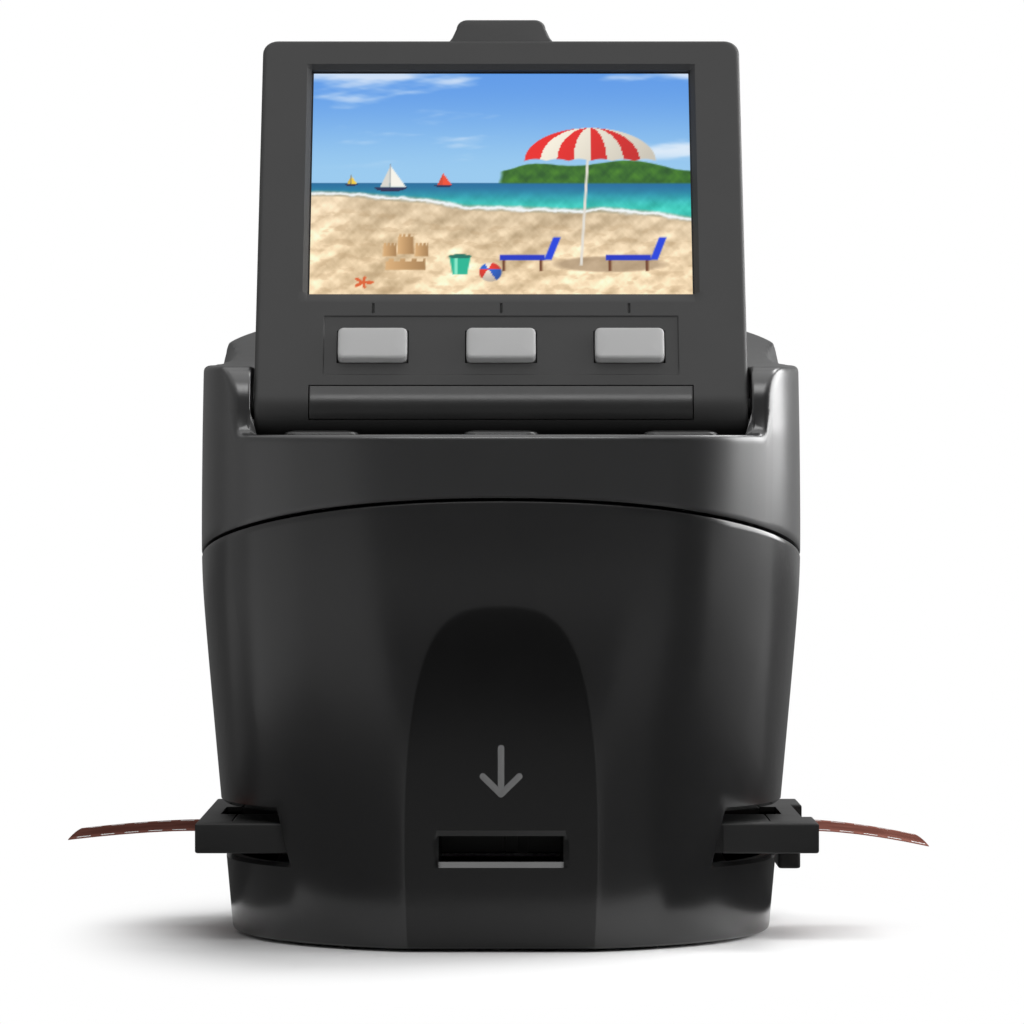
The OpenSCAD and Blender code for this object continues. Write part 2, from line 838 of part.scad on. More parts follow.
// Thin metal port shell, open to the rear
module port_shell(x, size, t) {
    back = port_face_y + 0.4;
    difference() {
        span([x - size[0] / 2, back - size[1], port_z], [x + size[0] / 2, back, port_z + size[2]]);
        span([x - size[0] / 2 + t, back - size[1] + 1, port_z + t], [x + size[0] / 2 - t, far, port_z + size[2] - t]);
    }
}

module usb_port() {
    color("silver") port_shell(usb_x, usb_size, 0.3);
    color("silver") port_tongue(usb_x, 3);
}

module port_tongue(x, half) {
    span([x - half, port_face_y - 7.1, port_z + 1.4], [x + half, port_face_y - 1, port_z + 2]);
}

module hdmi_port() {
    color("silver") port_shell(hdmi_x, hdmi_size, 0.3);
    color("silver") port_tongue(hdmi_x, 4);
}

module card_socket() {
    color("silver") port_shell(card_x, card_size, 0.5);
}

// Flat ribbon from the sensor board down to the main board
module sensor_cable() {
    w = 4;
    t = 0.3;
    y = sensor_half + 0.3;
    high = sensor_z + board_t;
    color([0.85, 0.6, 0.2]) {
        span([-w, sensor_half - 6, high], [w, y + t, high + t]);
        span([-w, y, port_z + eps], [w, y + t, high + t]);
        span([-w, y, port_z], [w, board_front + 5, port_z + t]);
    }
}

module key_board() {
    color([0.05, 0.25, 0.12])
    difference() {
        intersection() {
            span([-key_board_x, key_board_y[0], key_board_top - board_t], [key_board_x, key_board_y[1], key_board_top]);
            translate([0, 0, key_board_top - 10]) linear_extrude(20) polygon(outline(key_board_top, wall + 2));
        }
        for (x = [-key_post_x, key_post_x])
            translate([x, key_post_y, key_board_top - 10]) cylinder(r = key_screw_r + 0.2, h = 20);
    }
}

module key_board_screws() {
    color("silver") for (x = [-key_post_x, key_post_x])
        translate([x, key_post_y, key_board_top - board_t - 1]) screw(key_screw_r, 4.5, 2 * key_screw_r, 1);
}

module deck_switches() {
    color([0.2, 0.2, 0.2]) for (k = [-1, 0, 1])
        translate([k * deck_key_pitch, deck_key_at(k), key_board_top + switch_t / 2])
        cube([switch_size, switch_size, switch_t], center = true);
}

module deck_key(k) {
    flange_top = lip_z - tray_t - 0.2;
    plunger_low = key_board_top + switch_t + deck_key_travel + 0.1;
    tab_x = deck_key_l / 2 - 3;
    tab_y = deck_key_w / 2 + deck_key_fit + deck_flange;
    color([0.11, 0.11, 0.115]) translate([k * deck_key_pitch, deck_key_at(k), 0]) {
        translate([0, 0, flange_top - flange_t]) linear_extrude(deck_key_top - flange_top + flange_t) key_outline(0);
        span([-tab_x, -tab_y, flange_top - flange_t], [tab_x, tab_y, flange_top]);
        translate([0, 0, plunger_low]) cylinder(r = plunger_r, h = flange_top - flange_t - plunger_low + eps);
    }
}

module home_key() {
    deck_key(-1);
}

module scan_key() {
    deck_key(0);
}

module power_key() {
    deck_key(1);
}

// Places a piece of the screen unit at its raised lean
module on_screen() {
    translate([0, -hinge_front, hinge_z]) rotate([-screen_tilt, 0, 0]) children();
}

// Plate in the screen's plane with rounded upper corners
module screen_slab(half, low, high, front, back, r) {
    hull() {
        span([-half, front, low], [half, back, low + 1]);
        for (s = [-1, 1]) translate([s * (half - r), front, high - r]) rotate([-90, 0, 0])
            cylinder(r = r, h = back - front, $fn = 32);
    }
}

module picture_bevel() {
    x = picture_w / 2;
    z0 = picture_low;
    z1 = picture_low + picture_h;
    hull() {
        span([-x - bevel_side, face_y - 1, z0 - bevel_low], [x + bevel_side, face_y, z1 + bevel_top]);
        span([-x, face_y, z0], [x, face_y + front_t, z1]);
    }
    span([-x, face_y, z0], [x, face_y + front_t + 1, z1]);
}

module cover_solid(fit) {
    intersection() {
        union() {
            rotate([0, 90, 0]) cylinder(r = barrel_r, h = 2 * (cover_half_w - fit), center = true);
            span([-cover_half_w + fit, face_y, 0], [cover_half_w - fit, 0, cover_top - fit]);
        }
        span([-cover_half_w + fit, -far, -cover_low + fit], [cover_half_w - fit, 0, cover_top - fit]);
    }
}

module screen_bezel() {
    half = screen_w / 2;
    inner = half - bezel_wall;
    color([0.068, 0.068, 0.067]) on_screen()
    difference() {
        union() {
            screen_slab(half, 0, screen_l, face_y, split_y, corner_r);
            rotate([0, 90, 0]) cylinder(r = barrel_r, h = screen_w, center = true);
            hull() {
                span([-tab_low_w / 2, face_y + 0.4, screen_l - 1], [tab_low_w / 2, face_y + 0.4 + tab_t, screen_l]);
                span([-tab_high_w / 2, face_y + 0.4, screen_l],
                     [tab_high_w / 2, face_y + 0.4 + tab_t, screen_l + tab_h]);
            }
        }
        // room behind the face
        span([-inner, face_y + front_t, barrel_r + 1], [inner, split_y + 1, screen_l - bezel_wall]);
        picture_bevel();
        span([-panel_w / 2, face_y - 1, panel_low], [panel_w / 2, face_y + panel_depth, panel_high]);
        for (k = [-1, 0, 1])
            span([k * soft_key_pitch - soft_key_w / 2 - soft_key_fit, face_y - 1, soft_key_z - soft_key_fit],
                 [k * soft_key_pitch + soft_key_w / 2 + soft_key_fit, 0, soft_key_z + soft_key_h + soft_key_fit]);
        difference() {
            cover_solid(0);
            rotate([0, 90, 0]) cylinder(r = barrel_r - cover_t, h = screen_w, center = true);
            span([-far, face_y + cover_t, 0], [far, far, far]);
        }
        rotate([0, 90, 0]) cylinder(r = 3.6, h = 2 * pin_in, center = true);
        rotate([0, 90, 0]) cylinder(r = pin_r + 0.05, h = screen_w + 2, center = true);
    }
    color([0.068, 0.068, 0.067]) on_screen()
    for (x = [-screen_post_x, screen_post_x]) for (z = screen_post_z)
        translate([x, face_y + front_t - eps, z]) rotate([-90, 0, 0]) difference() {
            cylinder(r = screen_post_r, h = split_y - face_y - front_t);
            translate([0, 0, 1]) cylinder(r = screen_screw_r + screw_fit, h = far);
        }
}

module screen_back() {
    half = screen_w / 2;
    low = barrel_r + 1.4;
    color([0.06, 0.06, 0.06]) on_screen()
    difference() {
        union() {
            difference() {
                screen_slab(half, low, screen_l, split_y + eps, screen_back_t, corner_r);
                span([-half + bezel_wall, split_y - 1, low + bezel_wall],
                     [half - bezel_wall, screen_back_t - 1.8, screen_l - bezel_wall]);
            }
            for (x = [-screen_post_x, screen_post_x]) for (z = screen_post_z)
                translate([x, split_y + eps, z]) rotate([-90, 0, 0])
                cylinder(r = screen_head_r + 1, h = screen_back_t - split_y - 1);
        }
        for (x = [-screen_post_x, screen_post_x]) for (z = screen_post_z) translate([x, 0, z]) rotate([-90, 0, 0]) {
            cylinder(r = screen_screw_r + 0.15, h = 20);
            translate([0, 0, screen_back_t - 1.6]) cylinder(r = screen_head_r + 0.15, h = 20);
        }
    }
}

module screen_window() {
    y = face_y + front_t + 0.02;
    color([0.8, 0.85, 0.9, 0.3]) on_screen()
        span([-picture_w / 2 - window_lap, y, picture_low - window_lap],
             [picture_w / 2 + window_lap, y + window_t, picture_low + picture_h + window_lap]);
}

module display_panel() {
    y = face_y + front_t + window_t + 0.04;
    color([0.2, 0.45, 0.8]) on_screen()
        span([-picture_w / 2 - 1.5, y, picture_low - 2.2],
             [picture_w / 2 + 1.5, y + display_t, picture_low + picture_h + 2]);
}

module screen_board() {
    color([0.05, 0.25, 0.12]) on_screen()
        span([-screen_board_w / 2, screen_board_y, screen_board_low],
             [screen_board_w / 2, screen_board_y + board_t, screen_l - bezel_wall - 2]);
}

module soft_switches() {
    color([0.2, 0.2, 0.2]) on_screen() for (k = [-1, 0, 1])
        span([k * soft_key_pitch - 2, screen_board_y - soft_switch_t, soft_key_z + soft_key_h / 2 - 2],
             [k * soft_key_pitch + 2, screen_board_y, soft_key_z + soft_key_h / 2 + 2]);
}

module screen_screws() {
    color("silver") on_screen()
    for (x = [-screen_post_x, screen_post_x]) for (z = screen_post_z)
        translate([x, screen_back_t - 0.2, z]) rotate([90, 0, 0])
        screw(screen_screw_r, 6, screen_head_r, 1.3);
}

module hinge_cover() {
    color([0.072, 0.072, 0.071]) on_screen()
    difference() {
        cover_solid(cover_fit);
        rotate([0, 90, 0]) cylinder(r = barrel_r - cover_t + 0.05, h = screen_w, center = true);
        span([-far, face_y + cover_t - 0.05, 0], [far, far, far]);
    }
}

module hinge_pins() {
    color("silver") on_screen() both_sides()
        translate([pin_in - 4, 0, 0]) rotate([0, 90, 0]) cylinder(r = pin_r, h = well_x + bush_l - 0.4 - pin_in + 4);
}

module soft_key(k) {
    behind = face_y + front_t + 0.15;
    plunger_end = screen_board_y - soft_switch_t - soft_key_travel - 0.1;
    color([0.65, 0.65, 0.655]) on_screen() translate([k * soft_key_pitch, 0, soft_key_z]) {
        span([-soft_key_w / 2, face_y + panel_depth - soft_key_proud, 0], [soft_key_w / 2, behind + eps, soft_key_h]);
        span([-soft_key_w / 2 - flange_lap, behind, -flange_drop],
             [soft_key_w / 2 + flange_lap, behind + flange_t, soft_key_h + flange_rise]);
        translate([0, behind, soft_key_h / 2]) rotate([-90, 0, 0]) cylinder(r = plunger_r, h = plunger_end - behind);
    }
}

module left_soft_key() {
    soft_key(-1);
}

module centre_soft_key() {
    soft_key(0);
}

module right_soft_key() {
    soft_key(1);
}

module adapter_windows() {
    for (k = [-1, 0, 1]) translate([k * frame_pitch, 0, 0])
        span([-frame_w / 2, -frame_h / 2, -far], [frame_w / 2, frame_h / 2, far]);
}

// Line along which the lid turns when the adapter is out of the casing
module lid_axis(r, length) {
    translate([0, lid_half_d + lid_pin_back, adapter_z + adapter_t - lid_pin_down]) rotate([0, 90, 0])
        cylinder(r = r, h = length, center = true);
}

module adapter_base() {
    half = adapter_d / 2;
    top = adapter_z + adapter_t;
    grip_end = adapter_right + grip_l;
    color([0.075, 0.075, 0.078])
    difference() {
        union() {
            span([adapter_left, -half, adapter_z], [adapter_right, half, top]);
            span([adapter_right - 1, -half, adapter_z], [grip_end, -grip_in, top]);
            span([adapter_right - 1, grip_in, adapter_z], [grip_end, half, top]);
            span([grip_end - lug_x, half - lug_w, lug_low], [grip_end, half, adapter_z + eps]);
        }
        span([-lid_half_l - lid_fit, -lid_half_d - lid_fit, top - lid_t - 0.1],
             [lid_half_l + lid_fit, lid_half_d + lid_fit, far]);
        span([-far, -film_w / 2 - film_groove, film_z - film_t / 2 - film_groove],
             [far, film_w / 2 + film_groove, film_z + film_t / 2 + film_groove]);
        adapter_windows();
        for (k = [-1, 0, 1]) translate([k * frame_pitch, 0, 0]) {
            span([mark_x, -far, adapter_z + 0.8], [mark_x + mark_w, mark_deep - half, far]);
            span([notch_x, -far, 0], [notch_x + notch_w, notch_deep - half, adapter_z + 0.9]);
        }
        lid_axis(lid_pin_r + lid_pin_fit, 2 * lid_half_l - 8);
        both_sides() span([lid_lug_x - lid_lug_half - 0.3, lid_half_d - 1, top - lid_t - 0.1],
                          [lid_lug_x + lid_lug_half + 0.3, lid_half_d + lid_lug_back + 0.3, far]);
    }
}

module adapter_lid() {
    top = adapter_z + adapter_t;
    color([0.085, 0.085, 0.088])
    difference() {
        union() {
            span([-lid_half_l, -lid_half_d, top - lid_t], [lid_half_l, lid_half_d, top]);
            both_sides() span([lid_lug_x - lid_lug_half, lid_half_d - 1, top - lid_t],
                              [lid_lug_x + lid_lug_half, lid_half_d + lid_lug_back, top - 0.2]);
        }
        span([-far, -film_w / 2 - film_groove, 0], [far, film_w / 2 + film_groove, film_z + film_t / 2 + film_groove]);
        adapter_windows();
        lid_axis(lid_pin_r + lid_pin_fit, 2 * lid_half_l);
    }
}

module lid_hinge_pin() {
    color("silver") lid_axis(lid_pin_r, 2 * lid_half_l - 8.4);
}

function film_at(x) =
    film_z - (x < 0 ? film_droop_left : film_droop_right)
        * pow(max(0, abs(x) - film_flat) / (film_l / 2 - film_flat), 1.6);

module film_strip() {
    steps = 8;
    free = film_l / 2 - film_flat;
    xs = concat(
        [for (i = [steps : -1 : 0]) -film_flat - free * i / steps],
        [for (i = [0 : steps]) film_flat + free * i / steps]
    );
    outline_low = [for (x = xs) [x, film_at(x) - film_t / 2]];
    outline_high = [for (i = [len(xs) - 1 : -1 : 0]) [xs[i], film_at(xs[i]) + film_t / 2]];
    color([0.35, 0.16, 0.1]) rotate([90, 0, 0]) linear_extrude(film_w, center = true)
        polygon(concat(outline_low, outline_high));
}

lower_shell();
upper_shell();
base_plate();
rubber_feet();
base_screws();
shell_screws();
top_tray();
arrow_mark();
hinge_bushes();
lower_guide();
upper_guide();
guide_screws();
light_box();
led_board();
diffuser();
camera_tower();
tower_screws();
lens_holder();
lens_glass();
sensor_board();
image_sensor();
main_board();
main_board_screws();
processor();
usb_port();
hdmi_port();
card_socket();
sensor_cable();
key_board();
key_board_screws();
deck_switches();
home_key();
scan_key();
power_key();
screen_bezel();
screen_back();
screen_window();
display_panel();
screen_board();
soft_switches();
screen_screws();
hinge_cover();
hinge_pins();
left_soft_key();
centre_soft_key();
right_soft_key();
adapter_base();
adapter_lid();
lid_hinge_pin();
film_strip();
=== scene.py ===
"""Looks of a desktop film negative scanner, dressed around its construction frame.

Every size is in millimetres and in the frame of the construction: X to the right, Y to the
back, Z up, origin on the table under the middle of the casing.
"""

import json
import logging
import math
from dataclasses import dataclass, field
from enum import Enum
from typing import Callable, Optional

import bmesh
import bpy
import numpy as np
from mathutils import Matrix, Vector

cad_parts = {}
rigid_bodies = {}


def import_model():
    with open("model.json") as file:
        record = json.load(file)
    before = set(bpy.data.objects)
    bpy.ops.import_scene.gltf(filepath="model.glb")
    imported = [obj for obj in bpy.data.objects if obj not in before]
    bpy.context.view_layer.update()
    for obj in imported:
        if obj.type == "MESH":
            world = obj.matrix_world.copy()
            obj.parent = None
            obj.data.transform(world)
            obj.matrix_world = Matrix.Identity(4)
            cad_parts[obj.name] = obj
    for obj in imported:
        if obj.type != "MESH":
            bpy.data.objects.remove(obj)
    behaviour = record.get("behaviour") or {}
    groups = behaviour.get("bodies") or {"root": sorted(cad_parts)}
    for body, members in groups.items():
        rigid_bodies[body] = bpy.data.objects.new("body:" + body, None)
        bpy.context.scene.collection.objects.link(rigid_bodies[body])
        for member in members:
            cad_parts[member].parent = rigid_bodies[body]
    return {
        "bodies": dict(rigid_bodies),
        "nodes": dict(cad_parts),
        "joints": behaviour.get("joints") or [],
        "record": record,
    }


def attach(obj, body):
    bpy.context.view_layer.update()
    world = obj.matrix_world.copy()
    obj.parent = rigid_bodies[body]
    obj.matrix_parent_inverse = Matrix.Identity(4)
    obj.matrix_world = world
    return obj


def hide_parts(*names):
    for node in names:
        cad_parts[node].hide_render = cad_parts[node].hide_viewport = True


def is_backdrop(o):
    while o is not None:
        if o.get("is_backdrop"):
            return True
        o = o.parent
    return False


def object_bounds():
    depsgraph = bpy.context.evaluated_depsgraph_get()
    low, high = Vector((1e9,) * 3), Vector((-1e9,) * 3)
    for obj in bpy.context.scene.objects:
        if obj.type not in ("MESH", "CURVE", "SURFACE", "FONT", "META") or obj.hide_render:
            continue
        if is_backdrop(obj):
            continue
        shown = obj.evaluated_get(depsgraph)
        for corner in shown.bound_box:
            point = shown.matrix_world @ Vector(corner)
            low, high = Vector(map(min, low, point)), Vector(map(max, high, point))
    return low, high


LOG = logging.getLogger("film_scanner")
MM = 0.001
HALF_TURN = math.pi
QUARTER_TURN = math.pi / 2
THREE = (-1, 0, 1)
Array = np.ndarray
Colour = tuple[float, float, float]
Point = tuple[float, float, float]
Pair = tuple[float, float]
Socket = bpy.types.NodeSocket
Tree = bpy.types.NodeTree


# ---- Nodes ----


def fill(node: bpy.types.Node, inputs: dict[str | int, object]) -> None:
    """Sets inputs of a node, or links them where a socket is given.

    Args:
        node: The node.
        inputs: Values and sockets by the input's name or number.
    """
    for key, value in inputs.items():
        if isinstance(value, Socket):
            node.id_data.links.new(value, node.inputs[key])
        else:
            node.inputs[key].default_value = value


def add(
    tree: Tree, kind: str, inputs: dict[str | int, object], out: str | int = 0, **settings: object
) -> Socket:
    """Adds a shader node.

    Args:
        tree: Tree to add it to.
        kind: Its type, less the "ShaderNode" in front.
        inputs: Values and sockets by the input's name or number.
        out: The output wanted.
        **settings: Values of its own properties.

    Returns:
        The output.
    """
    node = tree.nodes.new(f"ShaderNode{kind}")
    for name, value in settings.items():
        setattr(node, name, value)
    fill(node, inputs)
    return node.outputs[out]


def maths(tree: Tree, kind: str, a: Socket, b: Socket | float) -> Socket:
    """Adds a math node of that kind on a and b and returns its result."""
    return add(tree, "Math", {0: a, 1: b}, operation=kind)


def blend(tree: Tree, share: Socket, a: object, b: object, kind: str = "MIX") -> Socket:
    """Adds a mix of two colours, b over a by share, and returns it."""
    return add(tree, "Mix", {"Factor": share, 6: a, 7: b}, 2, data_type="RGBA", blend_type=kind)


def noise(tree: Tree, place: Socket, scale: float, detail: float) -> Socket:
    """Adds a noise texture of that scale per metre and returns its value."""
    return add(tree, "TexNoise", {"Scale": scale, "Detail": detail, "Vector": place}, "Fac")


def object_place(tree: Tree) -> Socket:
    """Adds the object coordinates."""
    return add(tree, "TexCoord", {}, "Object")


def new_material(name: str) -> tuple[bpy.types.Material, Tree, bpy.types.Node]:
    """Makes a node material and returns it with its tree and its shader.

    Args:
        name: Its name.

    Returns:
        The material, its tree and its shader.
    """
    made = bpy.data.materials.new(name)
    made.use_nodes = True
    return made, made.node_tree, made.node_tree.nodes["Principled BSDF"]


def linear(level: Array | float) -> Array:
    """Linear light of a 0 to 1 screen level, by the sRGB curve."""
    return np.where(level <= 0.04045, level / 12.92, ((level + 0.055) / 1.055) ** 2.4)


# ---- Finishes ----


class Grain(Enum):
    """Kinds of surface texture: how the noise is stretched, and its detail."""

    SPARK = ((1.0, 1.0, 1.0), 2.5)
    SATIN = ((1.0, 1.0, 1.0), 1.0)
    BRUSHED = ((0.04, 1.0, 1.0), 2.5)
    CLOTH = ((1.0, 0.35, 1.0), 2.5)


@dataclass(frozen=True)
class Finish:
    """One material: its colour, its gloss and the texture that breaks them up."""

    name: str
    colour: Colour
    roughness: float = 0.45
    metallic: float = 0.0
    specular: float = 0.5
    grain: Grain = Grain.SPARK
    grain_mm: float = 0.35
    depth_mm: float = 0.012
    mottle: float = 0.06
    mottle_mm: float = 9.0
    gloss_spread: float = 0.06
    coat: float = 0.0
    coat_roughness: float = 0.12
    transmission: float = 0.0
    alpha: float = 1.0

    def material(self) -> bpy.types.Material:
        """Makes the node material, or returns the one already made.

        Returns:
            The material: noise at two sizes shifts colour and gloss, and a fine noise lifts
            the surface by depth_mm.
        """
        label = f"{self.name}_finish"
        found = bpy.data.materials.get(label)
        if found is not None:
            return found
        made, tree, shader = new_material(label)
        place = object_place(tree)
        broad = noise(tree, place, 1000 / self.mottle_mm, 3.0)
        dark, light = (
            (*(min(1.0, c * factor) for c in self.colour), 1.0)
            for factor in (1 - self.mottle, 1 + self.mottle)
        )
        gloss = add(tree, "MapRange", {
            "Value": broad, "To Min": max(0.02, self.roughness - self.gloss_spread),
            "To Max": self.roughness + self.gloss_spread,
        })
        bump = add(tree, "Bump", {
            "Strength": 1.0, "Distance": self.depth_mm * MM, "Height": self._grain(tree, place),
        })
        fill(shader, {
            "Base Color": blend(tree, broad, dark, light), "Roughness": gloss, "Normal": bump,
            "Metallic": self.metallic, "Specular IOR Level": self.specular,
            "Coat Weight": self.coat, "Coat Roughness": self.coat_roughness,
            "Transmission Weight": self.transmission, "Alpha": self.alpha,
        })
        return made

    def _grain(self, tree: Tree, place: Socket) -> Socket:
        """Adds the fine texture of this finish and returns its height."""
        stretch, detail = self.grain.value
        if self.grain in (Grain.BRUSHED, Grain.CLOTH):
            place = add(tree, "Mapping", {"Scale": stretch, "Vector": place})
        return noise(tree, place, 1000 / self.grain_mm, detail)


@dataclass(frozen=True)
class PaintedShadeFinish(Finish):
    """A finish with painted shade: darker and duller where a value kept on the mesh is above zero.
    """

    patch: str = "patch"
    painted_shade_tone: float = 0.66
    patch_specular: float = 0.4
    patch_from: float = -0.02
    patch_to: float = 0.04

    def material(self) -> bpy.types.Material:
        """Makes the material and mixes the painted shade's darker tone and the duller gloss in by
        the kept value.

        Returns:
            The material.
        """
        made = super().material()
        tree = made.node_tree
        shader = tree.nodes["Principled BSDF"]
        kept = add(tree, "Attribute", {}, "Fac", attribute_name=self.patch)
        share = add(tree, "MapRange", {
            "Value": kept, "From Min": self.patch_from, "From Max": self.patch_to,
        })
        gloss = add(tree, "MapRange", {
            "Value": share, "To Min": self.specular, "To Max": self.patch_specular,
        })
        whole = shader.inputs["Base Color"].links[0].from_socket
        # Painted shade: inside the patch the whole colour is multiplied by this grey.
        tone = (self.painted_shade_tone, self.painted_shade_tone, self.painted_shade_tone, 1)
        fill(shader, {"Specular IOR Level": gloss,
                      "Base Color": blend(tree, share, whole, tone, "MULTIPLY")})
        return made


@dataclass(frozen=True)
class FilmFinish:
    """Exposed colour negative: amber base with a darker, mottled image in every frame."""

    name: str = "film_negative"
    base: Colour = (0.22, 0.09, 0.07)
    image: Colour = (0.12, 0.045, 0.035)
    image_noise: tuple[float, float, float] = (160, 5, 1.7)
    half_pitch: float = 0.019
    half_length: float = 0.018
    half_width: float = 0.012

    def material(self) -> bpy.types.Material:
        """Glossy amber film: a noise inside each frame's rectangle darkens it.

        Returns:
            The material.
        """
        made, tree, shader = new_material(self.name)
        place = object_place(tree)
        scale, detail, strength = self.image_noise
        cloud = noise(tree, place, scale, detail)
        share = maths(tree, "MULTIPLY", self._rectangle(tree, place), cloud)
        share = maths(tree, "MULTIPLY", share, strength)
        fill(shader, {
            "Base Color": blend(tree, share, (*self.base, 1), (*self.image, 1)),
            "Roughness": 0.4, "Specular IOR Level": 0.0,
        })
        return made

    def _rectangle(self, tree: Tree, place: Socket) -> Socket:
        """One inside the frames, which repeat every pitch along X, and zero between them.

        Args:
            tree: Tree to add to.
            place: Object coordinates.

        Returns:
            Socket of the share.
        """
        x, y = (add(tree, "SeparateXYZ", {"Vector": place}, axis) for axis in "XY")
        along = maths(tree, "PINGPONG", x, self.half_pitch)
        along = maths(tree, "LESS_THAN", along, self.half_length)
        across = maths(tree, "ABSOLUTE", y, 0.0)
        across = maths(tree, "LESS_THAN", across, self.half_width)
        return maths(tree, "MULTIPLY", along, across)


def grey(level: float, tint: float = 0.0) -> Colour:
    """Linear grey of that 0-255 screen level, tinted to blue by tint."""
    tone = float(linear(level / 255))
    return (tone, tone, tone * (1 + tint))


CASING = Finish("casing_charcoal", grey(24, 0.06), 0.3, specular=1.0, grain_mm=0.32,
                depth_mm=0.003, gloss_spread=0.03)
# Lower shell: its patch is the front scoop, darkened as painted shade.
CASING_LOW = PaintedShadeFinish("casing_black", grey(23, 0.02), 0.22, specular=0.6, grain_mm=0.32,
                           depth_mm=0.003, gloss_spread=0.03, patch="scoop_depth")
BEZEL = Finish("bezel_graphite", grey(51), 0.52, specular=0.3, grain_mm=0.3, depth_mm=0.006,
               mottle=0.03)
BEZEL_DARK = Finish("bezel_black", grey(24), 0.4, grain=Grain.SATIN, depth_mm=0.004)
SCREEN_BACK = Finish("screen_back_graphite", grey(46), 0.48, specular=0.3, grain_mm=0.32,
                     depth_mm=0.008)
HINGE_SATIN = Finish("hinge_cover_satin", grey(42), 0.3, grain=Grain.SATIN, depth_mm=0.003)
SOFT_KEY = Finish("soft_key_grey", grey(173), 0.42, specular=0.4, grain=Grain.SATIN,
                  depth_mm=0.004, mottle=0.02)
DECK_KEY = Finish("deck_key_black", grey(34), 0.32, grain=Grain.SATIN, depth_mm=0.003)
TRAY = Finish("tray_black", grey(28), 0.5, specular=0.3, grain_mm=0.3, depth_mm=0.01)
ADAPTER = Finish("adapter_black", grey(30), 0.48, specular=0.3, grain_mm=0.28, depth_mm=0.008)
ADAPTER_LID = Finish("adapter_lid_black", grey(26), 0.44, specular=0.3, grain_mm=0.28,
                     depth_mm=0.008)
ARROW = Finish("printed_grey", grey(100), 0.55, grain_mm=0.15, depth_mm=0.004, mottle=0.08)
RUBBER = Finish("foot_rubber", grey(36), 0.8, grain_mm=0.25, depth_mm=0.02)
STEEL = Finish("screw_steel", (0.5, 0.5, 0.52), 0.3, 1.0, grain=Grain.BRUSHED, depth_mm=0.003)
PIN = Finish("pin_blackened", grey(26), 0.5, specular=0.2, grain=Grain.BRUSHED)
TIN = Finish("port_tin", (0.62, 0.62, 0.63), 0.34, 1.0, grain=Grain.BRUSHED, depth_mm=0.002)
NYLON = Finish("bush_nylon", grey(40), 0.5, grain=Grain.SATIN, depth_mm=0.004)
GUIDE = Finish("guide_black", grey(34), 0.55, grain_mm=0.3)
LAMP_WHITE = Finish("light_box_white", grey(228), 0.6, grain=Grain.SATIN, mottle=0.02)
DIFFUSER = Finish("diffuser_opal", grey(240), 0.5, grain=Grain.SATIN, mottle=0.01,
                  transmission=0.2)
BOARD = Finish("board_green", (0.01, 0.11, 0.05), 0.35, grain=Grain.CLOTH, grain_mm=0.6,
               coat=0.4)
CHIP = Finish("chip_black", grey(30), 0.5, grain_mm=0.2, depth_mm=0.006)
GLASS = Finish("lens_glass", (0.75, 0.82, 0.85), 0.04, grain=Grain.SATIN, mottle=0.01,
               gloss_spread=0.01, transmission=0.9)
RIBBON = Finish("ribbon_amber", (0.45, 0.16, 0.03), 0.3, grain=Grain.BRUSHED, coat=0.3)
FILM = FilmFinish()
FILM_CUT = Finish("film_cut_edge", grey(245), 0.6, specular=0.3, grain=Grain.SATIN)
WINDOW = Finish("window_clear", (0.9, 0.92, 0.95), 0.05, grain=Grain.SATIN, mottle=0.005,
                gloss_spread=0.01, transmission=0.97, alpha=0.12)


# ---- Shapes ----


def smooth_step(t: Array) -> Array:
    """Cubic ease from 0 to 1: 3t^2 - 2t^3 of t held between 0 and 1."""
    t = np.clip(t, 0.0, 1.0)
    return t * t * (3 - 2 * t)


def signed_power(v: Array, p: Array) -> Array:
    """Magnitude of v raised to p, with the sign of v."""
    return np.sign(v) * np.abs(v) ** p


def smooth_max(a: Array, b: Array, k: float) -> Array:
    """Larger of a and b with the crease rounded over k: (a + b + sqrt((a-b)^2 + k^2)) / 2."""
    return (a + b + np.sqrt((a - b) ** 2 + k * k)) / 2


def quadratic(a: Array, b: Array, c: Array, t: Array | float) -> Array:
    """Curve from a to c drawn towards b: (1-t)^2 a + 2t(1-t) b + t^2 c."""
    return (1 - t) ** 2 * a + 2 * t * (1 - t) * b + t * t * c


def edge_sink(distance: Array, r: float) -> Array:
    """Sink of a rounded edge: r - sqrt(r^2 - (r - distance)^2) within r of the outline."""
    near = np.clip(r - distance, 0, r)
    return r - np.sqrt(np.maximum(r * r - near * near, 0))


def share_in(run: float, *distances: Array) -> Array:
    """Least of the distances as a share of run, held between 0 and 1."""
    return np.clip(np.minimum.reduce(distances) / run, 0, 1)


def spread(*stops: float, step: float = 1.0) -> Array:
    """Even values from stop to stop, none further apart than step, with every stop in them.

    Args:
        stops: Values to reach, in order.
        step: Widest gap.

    Returns:
        The values.
    """
    runs = [
        np.linspace(a, b, max(1, math.ceil(abs(b - a) / step)) + 1)[:-1]
        for a, b in zip(stops[:-1], stops[1:])
    ]
    return np.concatenate([*runs, [stops[-1]]])


def lines(*parts: Array | list[float]) -> Array:
    """All values in order, rounded to a micrometre, none twice."""
    return np.unique(np.round(np.concatenate(parts), 3))


def mirrored(half: Array) -> Array:
    """Values from zero up with their negatives before them, along the last axis."""
    return np.concatenate([-half[..., :0:-1], half], axis=-1)


def middles(x: Array, y: Array) -> list[Array]:
    """X and Y in the middle of every cell between grid lines."""
    return np.meshgrid((x[1:] + x[:-1]) / 2, (y[1:] + y[:-1]) / 2)


def stack(*columns: Array) -> Array:
    """Joins X, Y and Z arrays, broadcast together, into one array of points."""
    return np.stack(np.broadcast_arrays(*columns), axis=-1).astype(float)


def flat_at_z(flat: Array, height: Array) -> Array:
    """Outline in X and Y, carried along Z."""
    return stack(flat[:, 0], flat[:, 1], height)


